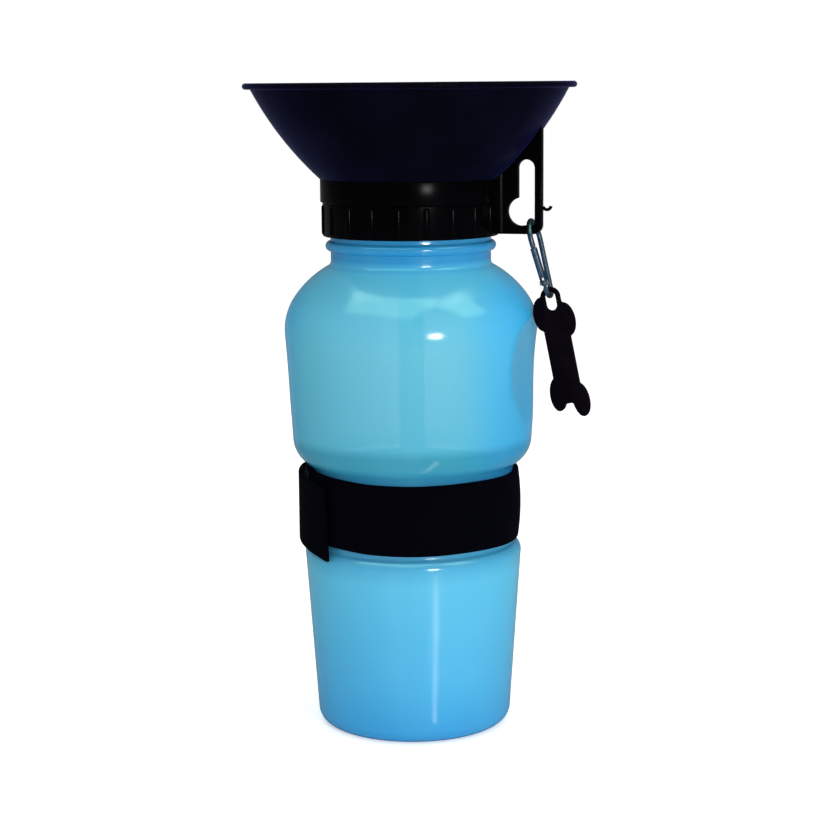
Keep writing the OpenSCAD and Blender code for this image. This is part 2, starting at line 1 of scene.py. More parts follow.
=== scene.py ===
"""Looks of a squeeze-and-fill travel water bottle for dogs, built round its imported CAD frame.

A bowl on a screw collar closes a waisted, translucent squeeze bottle. A spring clip with a
bone-shaped fob hangs in the collar's keyhole plate, and a webbing strap is wound round the waist.
Sizes are in millimetres, as in the part's source, and turned into metres where a mesh is made.
Finishes and lamps are in metres, and angles in degrees. Outlines are points of radius and height.
"""

import logging
import math
from contextlib import contextmanager
from dataclasses import dataclass
from enum import Enum
from typing import Callable, Iterator, Sequence, Union

import bpy
import numpy as np
from mathutils import Matrix, Vector


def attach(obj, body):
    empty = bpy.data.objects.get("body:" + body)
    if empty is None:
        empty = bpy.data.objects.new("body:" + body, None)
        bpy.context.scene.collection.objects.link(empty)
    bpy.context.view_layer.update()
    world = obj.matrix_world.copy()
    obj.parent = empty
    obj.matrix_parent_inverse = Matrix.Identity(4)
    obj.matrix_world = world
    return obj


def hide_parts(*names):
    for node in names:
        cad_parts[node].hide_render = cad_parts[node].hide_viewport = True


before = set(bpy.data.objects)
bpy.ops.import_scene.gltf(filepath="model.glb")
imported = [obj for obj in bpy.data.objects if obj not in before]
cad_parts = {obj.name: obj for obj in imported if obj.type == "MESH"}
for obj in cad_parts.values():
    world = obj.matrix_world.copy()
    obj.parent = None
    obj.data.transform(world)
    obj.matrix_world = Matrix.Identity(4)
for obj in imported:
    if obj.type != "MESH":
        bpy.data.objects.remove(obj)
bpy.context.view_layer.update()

MM = 0.001
EVEN = (1.0, 1.0, 1.0)
WHITE = EVEN
LOG = logging.getLogger("bottle")

Point = tuple[float, float]
Path = list[Point]
Triple = tuple[float, float, float]
Stops = Sequence[tuple[float, Triple]]
Piece = bpy.types.Object
Material = bpy.types.Material
Socket = bpy.types.NodeSocket


class Body(Enum):
    """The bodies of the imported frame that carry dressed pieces."""

    BOTTLE = "bottle"
    CAP = "cap"
    VALVE = "valve"
    CLIP = "clip"
    GATE = "gate"
    FOB = "fob"


# --- Outlines and places ---


def sin(angle: float) -> float:
    """Sine of an angle."""
    return math.sin(math.radians(angle))


def cos(angle: float) -> float:
    """Cosine of an angle."""
    return math.cos(math.radians(angle))


def turned(angle: float, axis: str) -> Matrix:
    """A turn about an axis."""
    return Matrix.Rotation(math.radians(angle), 4, axis)


def shifted(x: float, y: float, z: float) -> Matrix:
    """A shift, given in millimetres."""
    return Matrix.Translation(Vector((x, y, z)) * MM)


def arc(x: float, y: float, r: float, start: float, end: float, steps: int) -> Path:
    """The steps + 1 points of an arc round a centre, from its first angle to its last."""
    turns = np.radians(np.linspace(start, end, steps + 1))
    return [(x + r * math.cos(t), y + r * math.sin(t)) for t in turns]


def softened(path: Path, *corners: tuple[Point, float, int]) -> Path:
    """Rounds corners of a path, one after the other.

    Args:
        path: The points of the outline.
        corners: For each corner a place near it, the length that is taken off each of its sides
            and the number of chords of the rounding.

    Returns:
        The path with each corner replaced by a curve that touches both sides.
    """
    for corner, cut, steps in corners:
        points = np.array(path)
        at = int(np.argmin(np.linalg.norm(points - np.array(corner), axis=1)))
        step = np.linalg.norm(np.diff(points, axis=0), axis=1)
        run = np.concatenate([[0.0], np.cumsum(step)])
        low, high = run[at] - cut, run[at] + cut
        first, last = (
            np.array([np.interp(place, run, points[:, k]) for k in (0, 1)]) for place in (low, high)
        )
        share = np.linspace(0, 1, steps + 1)[:, None]
        curve = (1 - share) ** 2 * first + 2 * share * (1 - share) * points[at] + share**2 * last
        before, after = points[run < low - 1e-6], points[run > high + 1e-6]
        path = [tuple(p) for p in np.concatenate([before, curve, after])]
    return path


def divided(path: Path, chord: float) -> Path:
    """Divides a path.

    Args:
        path: The points of the outline.
        chord: The greatest length of a chord.

    Returns:
        The same path with more points.
    """
    found: Path = [path[0]]
    for a, b in zip(path, path[1:]):
        n = max(1, math.ceil(math.dist(a, b) / chord))
        way = np.array(b) - np.array(a)
        found += [tuple(np.array(a) + way * i / n) for i in range(1, n + 1)]
    return found


# --- Shader maths ---


@dataclass(frozen=True)
class Signal:
    """One number in a shader. Arithmetic on it adds Math nodes to its recipe."""

    recipe: "Recipe"
    socket: Socket

    def math(self, operation: str, *others: "Number") -> "Signal":
        """The result of one Math node that starts with this number."""
        values = dict(enumerate((self, *others)))
        return self.recipe.node("Math", {"operation": operation}, values)

    def __add__(self, other: "Number") -> "Signal":
        """This number plus another."""
        return self.math("ADD", other)

    __radd__ = __add__

    def __sub__(self, other: "Number") -> "Signal":
        """This number less another."""
        return self.math("SUBTRACT", other)

    def __rsub__(self, other: float) -> "Signal":
        """A plain number less this one."""
        return self * -1.0 + other

    def __mul__(self, other: "Number") -> "Signal":
        """This number times another."""
        return self.math("MULTIPLY", other)

    __rmul__ = __mul__

    def __truediv__(self, other: "Number") -> "Signal":
        """This number over another."""
        return self.math("DIVIDE", other)

    def between(self, low: float, high: float) -> "Signal":
        """0 below low, 1 above high and a smooth step in the middle."""
        smooth = {"interpolation_type": "SMOOTHSTEP"}
        return self.recipe.node("MapRange", smooth, {0: self, 1: low, 2: high})


Number = Union[Signal, float]


def put(target: object, settings: dict[str, object]) -> None:
    """Sets named values on a target."""
    for key, value in settings.items():
        setattr(target, key, value)


class Recipe:
    """A node tree under construction, with one main shader."""

    def __init__(self, owner: str | bpy.types.World, shader: str = "BsdfPrincipled") -> None:
        """Starts an empty tree with its shader and its output.

        Args:
            owner: The name of a new material, or the world.
            shader: The main shader's type.
        """
        named = isinstance(owner, str)
        self.owner = bpy.data.materials.new(owner) if named else owner
        self.owner.use_nodes = True
        self.tree = self.owner.node_tree
        self.tree.nodes.clear()
        self.shader = self.raw(shader)
        output = self.raw("OutputMaterial" if named else "OutputWorld")
        self.plug(output.inputs[0], self.shader.outputs[0])

    def plug(self, socket: Socket, value: object) -> None:
        """Links a socket to a signal or to another socket, or sets its number or colour.

        Args:
            socket: The socket.
            value: What goes into it.
        """
        if isinstance(value, Signal):
            value = value.socket
        if isinstance(value, Socket):
            self.tree.links.new(value, socket)
        else:
            flat = socket.type == "RGBA" and len(value) == 3
            socket.default_value = (*value, 1.0) if flat else value

    def raw(self, kind: str, settings: dict | None = None,
            values: dict | None = None) -> bpy.types.Node:
        """Adds a node.

        Args:
            kind: The node's type.
            settings: Its own settings.
            values: Numbers, colours or signals for its sockets, by name or number.

        Returns:
            The node.
        """
        node = self.tree.nodes.new("ShaderNode" + kind)
        put(node, settings or {})
        for key, value in (values or {}).items():
            self.plug(node.inputs[key], value)
        return node

    def node(self, kind: str, settings: dict | None = None, values: dict | None = None) -> Signal:
        """Adds a node and gives its first output as a signal."""
        return Signal(self, self.raw(kind, settings, values).outputs[0])

    def place(self, scale: Triple = EVEN, kind: str = "Object") -> Socket:
        """Object or UV coordinates, scaled by a Mapping node."""
        source = self.raw("TexCoord").outputs[kind]
        return self.raw("Mapping", None, {"Vector": source, "Scale": scale}).outputs[0]

    def axis(self, name: str, kind: str = "Object") -> Signal:
        """One coordinate, X, Y or Z, in metres, or of the piece's own UV map."""
        split = self.raw("SeparateXYZ", None, {0: self.place(kind=kind)})
        return Signal(self, split.outputs[name])

    def noise(self, scale: float, detail: float = 3.0, stretch: Triple = EVEN) -> Signal:
        """Soft noise from 0 to 1 at a scale in features per metre."""
        values = {"Vector": self.place(stretch), "Scale": scale, "Detail": detail}
        return self.node("TexNoise", {"noise_dimensions": "3D"}, values)

    def mixed(self, share: Number, first: Triple | Socket, second: Triple | Socket,
              blend: str = "MIX") -> Socket:
        """A colour between two others."""
        settings = {"data_type": "RGBA", "blend_type": blend}
        return self.raw("Mix", settings, {0: share, 6: first, 7: second}).outputs[2]

    def ramp(self, share: Signal, stops: Stops) -> Socket:
        """Reads a colour off a row of stops.

        Args:
            share: The place along the row.
            stops: Places and colours, in rising order.

        Returns:
            The colour.
        """
        node = self.raw("ValToRGB", None, {0: share})
        row = node.color_ramp.elements
        for i, (place, colour) in enumerate(stops):
            stop = row[i] if i < len(row) else row.new(place)
            stop.position, stop.color = place, (*colour, 1.0)
        return node.outputs[0]

    def edge(self, blend: float) -> Signal:
        """0 where the surface faces the eye, 1 at its rim."""
        return Signal(self, self.raw("LayerWeight", None, {"Blend": blend}).outputs["Facing"])

    def ray(self, kind: str) -> Signal:
        """1 for rays of a kind, 0 for others."""
        return Signal(self, self.raw("LightPath").outputs[f"Is {kind} Ray"])

    def bump(self, height: Signal, depth: float, strength: float) -> None:
        """Lets a height, from 0 to 1, raise the surface by up to a depth."""
        values = {"Height": height, "Distance": depth, "Strength": strength}
        self.feed(Normal=self.raw("Bump", None, values).outputs[0])

    def feed(self, **sockets: object) -> None:
        """Sets or links the main shader's sockets; a low line stands for a space."""
        for key, value in sockets.items():
            self.plug(self.shader.inputs[key.replace("_", " ")], value)


# --- Finishes ---


@dataclass(frozen=True)
class MilkyShell:
    """Blown, translucent blue plastic whose colour runs with height: deeper at the neck, for its
    thicker wall and as painted shade under the collar, with painted shade at the waist and under
    the bulge and painted light on the shoulder.

    Its levels run from 0 at the base to 1 at the mouth.
    """

    inner: bool = False
    tall: float = 0.2012
    # Tone and painted shade by height: the neck's deep blue is partly its thick wall and partly
    # painted shade; the dark waist and bulge underside are painted shade, the pale shoulder painted
    # light.
    tones_and_painted_shade: Stops = (
        (0.00, (0.038, 0.325, 0.690)), (0.10, (0.062, 0.400, 0.730)),
        (0.30, (0.092, 0.480, 0.745)), (0.36, (0.036, 0.280, 0.520)),
        (0.49, (0.036, 0.280, 0.520)), (0.515, (0.040, 0.320, 0.470)),
        (0.534, (0.039, 0.320, 0.475)), (0.552, (0.090, 0.470, 0.665)),
        (0.72, (0.122, 0.525, 0.712)), (0.855, (0.108, 0.590, 0.860)),
        (0.875, (0.021, 0.260, 0.550)), (1.00, (0.021, 0.260, 0.550)),
    )
    pale: Triple = (0.170, 0.560, 0.720)
    # Painted shade: a deeper blue tint on the bottle's sides, where the surface turns away.
    side_shade_tint: Triple = (0.40, 0.88, 1.18)
    side_shade_x: Point = (0.026, 0.045)
    side_shade_level: Point = (0.42, 0.52)
    # Painted shade: the inner face is darker than the outer, for the shade inside the bottle.
    inner_shade_tint: Triple = (0.45, 0.55, 0.62)
    inner_alpha: float = 0.30
    inner_rim_alpha: float = 0.95
    alpha: float = 0.74
    rim_alpha: float = 0.22
    cup_alpha: float = 0.12
    cup_level: Point = (0.33, 0.42)
    neck_alpha: float = 0.16
    neck_level: Point = (0.80, 0.88)

    def material(self) -> Material:
        """Builds the material of the outer or the inner face."""
        recipe = Recipe("shell_inside" if self.inner else "shell_outside")
        level = recipe.axis("Z") / self.tall
        # Painted shade and light by height, over the plastic's own blue.
        tone_and_shade = recipe.ramp(level, self.tones_and_painted_shade)
        # Painted shade on the sides of the bulge and shoulder, towards the outline.
        side_shade = recipe.axis("X").math("ABSOLUTE").between(*self.side_shade_x)
        side_shade = side_shade * level.between(*self.side_shade_level)
        tone_and_shade = recipe.mixed(side_shade, tone_and_shade, recipe.mixed(1.0, tone_and_shade, self.side_shade_tint, "MULTIPLY"))
        drift = recipe.noise(38.0, 2.0, (1.0, 1.0, 0.35))
        tone_and_shade = recipe.mixed(drift.between(0.35, 0.75) * 0.10, tone_and_shade, self.pale)
        grain = recipe.noise(900.0, 4.0, (1.0, 1.0, 0.4))
        if self.inner:
            # Painted shade inside the bottle: the inner face is a darkened copy of the outer
            # colour.
            tone_and_shade = recipe.mixed(1.0, tone_and_shade, self.inner_shade_tint, "MULTIPLY")
            alpha = self.inner_alpha + recipe.edge(0.4) * (self.inner_rim_alpha - self.inner_alpha)
        else:
            cup = (1.0 - level.between(*self.cup_level)) * self.cup_alpha
            thick = cup + level.between(*self.neck_level) * self.neck_alpha
            alpha = thick + recipe.edge(0.35) * self.rim_alpha + self.alpha
        roughness = 0.11 + drift * 0.05 + grain * 0.03
        recipe.feed(Base_Color=tone_and_shade, Alpha=alpha, Roughness=roughness, IOR=1.49)
        recipe.bump(grain * 0.3 + recipe.noise(110.0, 2.0) * 0.7, 0.00004, 0.5)
        return recipe.owner


@dataclass(frozen=True)
class BlackMoulding:
    """Injection-moulded black plastic with a navy sheen where it turns away."""

    name: str
    base: Triple = (0.0012, 0.0012, 0.0028)
    mottle: Triple = (0.0020, 0.0018, 0.0060)
    sheen: Triple = (0.06, 0.07, 0.42)
    sheen_weight: float = 0.30
    roughness: float = 0.20
    specular: float = 0.005

    def material(self) -> Material:
        """Builds the material."""
        recipe = Recipe(self.name)
        swirl = recipe.noise(60.0)
        grain = recipe.noise(2600.0)
        recipe.feed(
            Base_Color=recipe.mixed(swirl.between(0.3, 0.75), self.base, self.mottle),
            Roughness=self.roughness + swirl * 0.06 + grain * 0.05,
            Specular_IOR_Level=self.specular,
            Sheen_Weight=self.sheen_weight,
            Sheen_Roughness=0.35,
            Sheen_Tint=self.sheen,
        )
        recipe.bump(grain, 0.000012, 0.5)
        return recipe.owner


@dataclass(frozen=True)
class Webbing:
    """Woven black nylon: ribs across the strap, stitched lines near its edges."""

    length: float
    width: float
    base: Triple = (0.0003, 0.0002, 0.0012)
    thread: Triple = (0.0010, 0.0008, 0.0036)
    sheen: Triple = (0.10, 0.10, 0.34)
    rib: float = 0.0011
    yarn: float = 0.0007
    stitch: float = 0.0032

    def material(self) -> Material:
        """Builds the material; the pattern follows the strap's UV map."""
        recipe = Recipe("webbing")
        along, across = recipe.axis("X", "UV"), recipe.axis("Y", "UV")
        ribs, yarns, stitches = (
            (place * (math.tau * size / pitch)).math("SINE")
            for place, size, pitch in ((along, self.length, self.rib),
                                       (across, self.width, self.yarn),
                                       (along, self.length, self.stitch))
        )
        weave = (ribs * yarns) * 0.35 + ribs.math("ABSOLUTE") * 0.35 + 0.3
        side = (across - 0.5).math("ABSOLUTE")
        seam = side.between(0.405, 0.415) - side.between(0.425, 0.435)
        fuzz = recipe.noise(1800.0, 4.0)
        worn = (weave * 0.5 + fuzz * 0.5).between(0.25, 0.85)
        recipe.feed(
            Base_Color=recipe.mixed(worn, self.base, self.thread),
            Roughness=0.86 + fuzz * 0.1,
            Specular_IOR_Level=0.02,
            Sheen_Weight=0.02,
            Sheen_Roughness=0.5,
            Sheen_Tint=self.sheen,
        )
        raised = weave * 0.55 + fuzz * 0.25 + seam * stitches.between(-0.35, 0.1) * 0.6
        recipe.bump(raised, 0.00022, 0.8)
        return recipe.owner


@dataclass(frozen=True)
class TouchTape:
    """Hook or loop tape: a field of fine hooks at a pitch, or a felt of loops."""

    name: str
    pitch: float | None = None
    colour: Triple = (0.004, 0.004, 0.006)
    light: float = 2.4

    def material(self) -> Material:
        """Builds the material."""
        recipe = Recipe(self.name)
        if self.pitch:
            values = {"Vector": recipe.place(), "Scale": 1 / self.pitch}
            height = 1.0 - recipe.node("TexVoronoi", {"feature": "F1"}, values)
        else:
            height = recipe.noise(2400.0, 5.0)
        bright = tuple(c * self.light for c in self.colour)
        recipe.feed(
            Base_Color=recipe.mixed(height.between(0.3, 0.9), self.colour, bright),
            Roughness=0.92,
            Specular_IOR_Level=0.15,
        )
        recipe.bump(height, 0.0003, 0.9)
        return recipe.owner


@dataclass(frozen=True)
class ClipSteel:
    """Plated spring wire, dulled by handling, with faint drawing marks along it."""

    name: str = "clip_metal"
    bright: Triple = (0.12, 0.16, 0.23)
    dull: Triple = (0.035, 0.055, 0.09)
    roughness: float = 0.28

    def material(self) -> Material:
        """Builds the material."""
        recipe = Recipe(self.name)
        patina = recipe.noise(420.0, 4.0)
        marks = recipe.noise(5200.0, 2.0, (1.0, 1.0, 0.12))
        recipe.feed(
            Base_Color=recipe.mixed(patina.between(0.35, 0.7) * 0.7, self.bright, self.dull),
            Metallic=1.0,
            Roughness=self.roughness + patina * 0.14 + marks * 0.08,
        )
        recipe.bump(marks, 0.00002, 0.6)
        return recipe.owner


@dataclass(frozen=True)
class PlainPlastic:
    """A plain moulded or rubbery surface with fine grain and a little mottling."""

    name: str
    colour: Triple
    second: Triple
    roughness: float
    specular: float
    alpha: float = 1.0
    grain: float = 0.00003
    scale: float = 1500.0

    def material(self) -> Material:
        """Builds the material."""
        recipe = Recipe(self.name)
        mottle = recipe.noise(90.0)
        grain = recipe.noise(self.scale, 4.0)
        recipe.feed(
            Base_Color=recipe.mixed(mottle.between(0.3, 0.75), self.colour, self.second),
            Roughness=self.roughness + grain * 0.12,
            Specular_IOR_Level=self.specular,
            Alpha=self.alpha,
        )
        recipe.bump(grain, self.grain, 0.7)
        return recipe.owner


# --- Hand moves ---


def hold(*pieces: Piece) -> None:
    """Selects pieces alone.

    Args:
        pieces: The pieces, the first of which becomes the active one.
    """
    bpy.ops.object.select_all(action="DESELECT")
    for piece in pieces:
        piece.select_set(True)
    bpy.context.view_layer.objects.active = pieces[0]


@contextmanager
def editing(piece: Piece, select: str = "SELECT") -> Iterator[None]:
    """Holds a piece in edit mode while a block runs.

    Args:
        piece: The piece.
        select: SELECT or DESELECT, for all of its vertices.
    """
    hold(piece)
    bpy.ops.object.mode_set(mode="EDIT")
    bpy.ops.mesh.select_mode(type="VERT")
    bpy.ops.mesh.select_all(action=select)
    yield
    bpy.ops.object.mode_set(mode="OBJECT")


def joined(pieces: Sequence[Piece]) -> Piece:
    """Joins pieces into the first one.

    Args:
        pieces: One piece or more.

    Returns:
        The first piece.
    """
    hold(*pieces)
    if len(pieces) > 1:
        bpy.ops.object.join()
    return bpy.context.object


def drawn(name: str, runs: Sequence[Sequence[Sequence[float]]], closed: bool = False) -> Piece:
    """Draws lines of edges by extruding a vertex along their points.

    Args:
        name: Name of the piece.
        runs: One list of points for each line.
        closed: Whether each line comes back to its first point.

    Returns:
        The piece, a mesh of edges.
    """
    lines = []
    for run in runs:
        points = [Vector(p) * MM for p in run]
        bpy.ops.mesh.primitive_plane_add(size=MM, location=(0, 0, 0))
        lines.append(bpy.context.object)
        with editing(lines[-1]):
            bpy.ops.mesh.merge(type="CENTER")
            bpy.ops.transform.translate(value=points[0])
            for a, b in zip(points, points[1:] + points[:1] if closed else points[1:]):
                bpy.ops.mesh.extrude_vertices_move(TRANSFORM_OT_translate={"value": b - a})
            if closed:
                bpy.ops.mesh.select_all(action="SELECT")
                bpy.ops.mesh.remove_doubles(threshold=1e-7)
    piece = joined(lines)
    piece.name = piece.data.name = name
    return piece


def cleaned(piece: Piece, threshold: float = 2e-6) -> Piece:
    """Merges doubles and turns all faces outwards.

    Args:
        piece: The piece.
        threshold: Distance in metres within which vertices merge.

    Returns:
        The same piece.
    """
    with editing(piece):
        bpy.ops.mesh.remove_doubles(threshold=threshold)
        bpy.ops.mesh.select_all(action="SELECT")
        bpy.ops.mesh.normals_make_consistent(inside=False)
    return piece


def spun(name: str, outline: Path, steps: int, closed: bool = False) -> Piece:
    """Turns an outline into a round piece.

    Args:
        name: Name of the piece.
        outline: Points of radius and height.
        steps: Number of faces round the piece.
        closed: Whether the outline is a loop that keeps off the axis.

    Returns:
        The piece, with its doubles merged and its faces outwards.
    """
    piece = drawn(name, [[(r, 0.0, z) for r, z in outline]], closed)
    with editing(piece):
        bpy.ops.mesh.spin(steps=steps, angle=math.tau, center=(0, 0, 0), axis=(0, 0, 1))
    return cleaned(piece)


def thickened(line: Piece, **settings: object) -> Piece:
    """Gives a drawn line its thickness as a curve.

    Args:
        line: The mesh of edges.
        settings: The curve's settings, among them its thickness.

    Returns:
        The piece as a mesh.
    """
    hold(line)
    bpy.ops.object.convert(target="CURVE")
    put(bpy.context.object.data, settings)
    bpy.ops.object.convert(target="MESH")
    return bpy.context.object


def settled(piece: Piece) -> Piece:
    """Puts the piece's place into its mesh, so that its object sits at the origin.

    Args:
        piece: The piece.

    Returns:
        The same piece.
    """
    hold(piece)
    bpy.ops.object.transform_apply()
    return piece


def plated(name: str, outlines: Sequence[Path], thickness: float, edge: float) -> Piece:
    """A flat plate in the XZ plane, about y = 0, with rounded edges.

    Args:
        name: Name of the piece.
        outlines: The outer outline and then its holes.
        thickness: Thickness of the plate.
        edge: Rounding of its edges.

    Returns:
        The piece as a mesh.
    """
    line = drawn(name, [[(x, y, 0.0) for x, y in outline] for outline in outlines], True)
    piece = thickened(line, dimensions="2D", fill_mode="BOTH", extrude=(thickness / 2 - edge) * MM,
                      bevel_depth=edge * MM, bevel_resolution=3, offset=-edge * MM)
    piece.matrix_world = turned(90, "X")
    return cleaned(settled(piece))


def wired(name: str, path: Sequence[Triple], radius: float, sides: int) -> Piece:
    """A round wire along a path, with closed ends.

    Args:
        name: Name of the piece.
        path: Points of its middle line.
        radius: Radius of the wire.
        sides: Faces round the wire, a multiple of 4.

    Returns:
        The piece as a mesh.
    """
    piece = thickened(drawn(name, [path]), dimensions="3D", bevel_depth=radius * MM,
                      bevel_resolution=sides // 4 - 1, use_fill_caps=True)
    return cleaned(piece, 1e-7)


def rod(sides: int, radius: float, depth: float, **place: Sequence[float]) -> Piece:
    """A plain cylinder, along Z unless its place says more."""
    bpy.ops.mesh.primitive_cylinder_add(
        vertices=sides, radius=radius * MM, depth=depth * MM, **{"location": (0, 0, 0)} | place)
    return bpy.context.object


def modified(piece: Piece, kind: str, **settings: object) -> Piece:
    """Adds a modifier and applies it.

    Args:
        piece: The piece.
        kind: The modifier's type.
        settings: The modifier's settings.

    Returns:
        The same piece.
    """
    hold(piece)
    modifier = piece.modifiers.new(kind.lower(), kind)
    put(modifier, settings)
    bpy.ops.object.modifier_apply(modifier=modifier.name)
    return piece


def bevelled(piece: Piece, width: float, segments: int, angle: float, **more: bool) -> Piece:
    """Rounds all edges sharper than an angle by a width."""
    return modified(piece, "BEVEL", width=width * MM, segments=segments, limit_method="ANGLE",
                    angle_limit=math.radians(angle), **more)


def cut(piece: Piece, tool: Piece) -> None:
    """Takes the tool's shape out of the piece and removes the tool."""
    modified(piece, "BOOLEAN", operation="DIFFERENCE", solver="EXACT", object=tool)
    bpy.data.objects.remove(tool)


def twin(piece: Piece) -> Piece:
    """Copies a piece.

    Args:
        piece: The piece.

    Returns:
        The copy, with a mesh of its own, in the scene.
    """
    copy = piece.copy()
    copy.data = piece.data.copy()
    bpy.context.scene.collection.objects.link(copy)
    return copy


def ring(piece: Piece, count: int, first: float, place: Matrix) -> Piece:
    """Repeats a piece round the Z axis and joins the copies.

    Args:
        piece: The piece, which is used up.
        count: Number of copies.
        first: Place of the first copy, in steps from +X.
        place: Place of a copy before it is turned round the axis.

    Returns:
        The joined copies.
    """
    copies = []
    for i in range(count):
        copies.append(twin(piece))
        copies[-1].data.transform(turned((i + first) * 360 / count, "Z") @ place)
    bpy.data.objects.remove(piece)
    return joined(copies)


def moved(piece: Piece, rule: Callable[..., np.ndarray], *values: float) -> Piece:
    """Moves every vertex of a piece.

    Args:
        piece: The piece.
        rule: Gives the new points for an array of points and the values.
        values: What the rule is given besides.

    Returns:
        The same piece.
    """
    points = np.empty(len(piece.data.vertices) * 3, np.float32)
    piece.data.vertices.foreach_get("co", points)
    shaped = rule(points.reshape(-1, 3).astype(float) / MM, *values) * MM
    piece.data.vertices.foreach_set("co", shaped.astype(np.float32).reshape(-1))
    piece.data.update()
    return piece


def dressed(piece: Piece, body: Body, slot: str, node: str, angle: float,
            *materials: Material) -> None:
    """Shades a finished piece, gives it its finish and its body, and hides the CAD node that it
    replaces.

    Args:
        piece: The finished mesh.
        body: The body that it moves with.
        slot: Name of a material slot; not used.
        node: The CAD node that it replaces.
        angle: Edges sharper than this stay sharp in the shading.
        materials: Its materials, in the order of its slots.
    """
    hold(piece)
    bpy.ops.object.shade_smooth_by_angle(angle=math.radians(angle))
    slots = piece.data.materials
    for i, material in enumerate(materials):
        if i < len(slots):
            slots[i] = material
        else:
            slots.append(material)
    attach(piece, body.value)
    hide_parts(node)
    LOG.info("%s: %d faces on %s", piece.name, len(piece.data.polygons), body.value)


# --- Studio ---


@dataclass
class Lamp:
    """An area lamp that looks at the bottle's middle from a direction.

    The azimuth counts from -Y towards +X. Distance, width and height are in metres, and the
    power is in watts. A lamp that isn't diffuse shows only in the gloss.
    """

    name: str
    azimuth: float
    elevation: float
    distance: float
    size: Point
    power: float
    colour: Triple = WHITE
    diffuse: bool = True
    aim: Triple = (0.0, 0.0, 0.13)

    def build(self) -> Piece:
        """Adds the lamp to the scene."""
        level = cos(self.elevation)
        back = Vector((sin(self.azimuth) * level, -cos(self.azimuth) * level, sin(self.elevation)))
        bpy.ops.object.light_add(type="AREA", location=Vector(self.aim) + back * self.distance)
        lamp = bpy.context.object
        lamp.name = "lamp_" + self.name
        lamp.visible_diffuse = self.diffuse
        lamp.data.shape = "RECTANGLE"
        lamp.data.size, lamp.data.size_y = self.size
        lamp.data.energy, lamp.data.color = self.power, self.colour
        lamp.rotation_mode = "QUATERNION"
        lamp.rotation_quaternion = back.to_track_quat("Z", "Y")
        return lamp


@dataclass
class Studio:
    """Camera at the photograph's angle, pale floor, a small key lamp and broad soft ones."""

    azimuth: float = 17.0
    pitch: float = 9.145
    roll: float = -0.48
    yaw: float = 0.006
    distance: float = 0.757
    height: float = 0.2397
    lens: float = 89.56
    sensor: float = 36.0
    daylight: float = 0.62
    gloss_cut: float = 0.46
    floor_size: float = 12.0
    floor_glow: float = 0.46
    floor_in_gloss: Triple = (0.30, 0.30, 0.30)
    gloss_tint: Triple = (0.50, 1.0, 0.66)
    ceiling_tint: Triple = (0.72, 1.0, 0.80)
    strips: Sequence[Triple] = ((12.0, 40.0, 3.5), (40.0, 85.0, 7.5), (85.0, 160.0, 14.0))
    strip_root: float = 38.5
    strip_foot: float = 28.8
    strip_way: float = 41.3
    strip_glow: float = 4.2
    strip_z: float = 2.0

    def build(self) -> None:
        """Sets the camera, the surroundings and the lamps."""
        self._camera()
        self._world()
        self._floor()
        for lamp in (
            Lamp("key", 37.6, 7.8, 0.95, (0.16, 0.13), 4.2),
            Lamp("ceiling", 17.0, 90.0, 1.1, (1.50, 0.75), 5.6, self.ceiling_tint),
            Lamp("softbox", -22.0, 66.0, 1.1, (1.20, 0.85), 12.0, self.gloss_tint, False),
            Lamp("window", 84.0, 50.0, 1.1, (0.50, 0.60), 3.8, self.gloss_tint, False),
            Lamp("fill", -40.0, 25.0, 1.4, (0.9, 0.9), 0.3),
        ):
            lamp.build()
        for strip in self.strips:
            self._strip(*strip)

    def _camera(self) -> None:
        """Makes the camera."""
        spot = sin(self.azimuth) * self.distance, -cos(self.azimuth) * self.distance, self.height
        bpy.ops.object.camera_add(location=spot)
        camera = bpy.context.object
        camera.name = "camera"
        put(camera.data, {"lens": self.lens, "sensor_width": self.sensor, "clip_start": 0.05,
                          "clip_end": 60.0})
        aim = turned(self.azimuth + self.yaw, "Z") @ turned(90.0 - self.pitch, "X")
        camera.matrix_world = Matrix.Translation(spot) @ aim @ turned(self.roll, "Z")
        bpy.context.scene.camera = camera

    def _world(self) -> None:
        """White for the eye, a plain level for the light and a dim room for the gloss."""
        sky = Recipe(bpy.data.worlds.new("studio"), "Background")
        seen = sky.ray("Camera").math("MAXIMUM", sky.ray("Transmission"))
        level = sky.node("MapRange", None, {0: seen, 3: self.daylight})
        glow = sky.ray("Glossy").math("MULTIPLY_ADD", -self.gloss_cut, level)
        sky.feed(Color=WHITE, Strength=glow)
        bpy.context.scene.world = sky.owner
        bpy.context.scene.view_settings.view_transform = "Standard"

    def _floor(self) -> None:
        """A pale floor that keeps the object's soft shadow."""
        bpy.ops.mesh.primitive_grid_add(x_subdivisions=4, y_subdivisions=4, size=self.floor_size)
        floor = bpy.context.object
        floor.name = "floor"
        recipe = Recipe("floor_paper")
        paper = recipe.mixed(recipe.noise(4.0), (0.93, 0.93, 0.93), (0.95, 0.95, 0.95))
        recipe.feed(
            Base_Color=recipe.mixed(recipe.ray("Glossy"), paper, self.floor_in_gloss),
            Roughness=0.9,
            Specular_IOR_Level=0.1,
            Emission_Color=WHITE,
            Emission_Strength=recipe.ray("Camera") * self.floor_glow,
        )
        floor.data.materials.append(recipe.owner)

    def _strip(self, near: float, far: float, width: float) -> None:
        """Lays a dim strip lamp on the floor, which the lower cup mirrors as a soft streak.

        Args:
            near: Distance of its near end from the cup.
            far: Distance of its far end.
            width: Its width.
        """
        size = width * MM, (far - near) * MM
        power = self.strip_glow * math.pi * size[0] * size[1]
        strip = Lamp(f"strip_{near:.0f}", 0.0, 0.0, 1.0, size, power).build()
        foot, way, reach = self.strip_foot, self.strip_way, (near + far) / 2
        x = self.strip_root * sin(foot) + reach * sin(way)
        y = -self.strip_root * cos(foot) - reach * cos(way)
        strip.location = x * MM, y * MM, self.strip_z * MM
        strip.rotation_mode = "XYZ"
        strip.rotation_euler = math.pi, 0.0, math.radians(way)
        strip.visible_camera = False


# --- Bottle ---


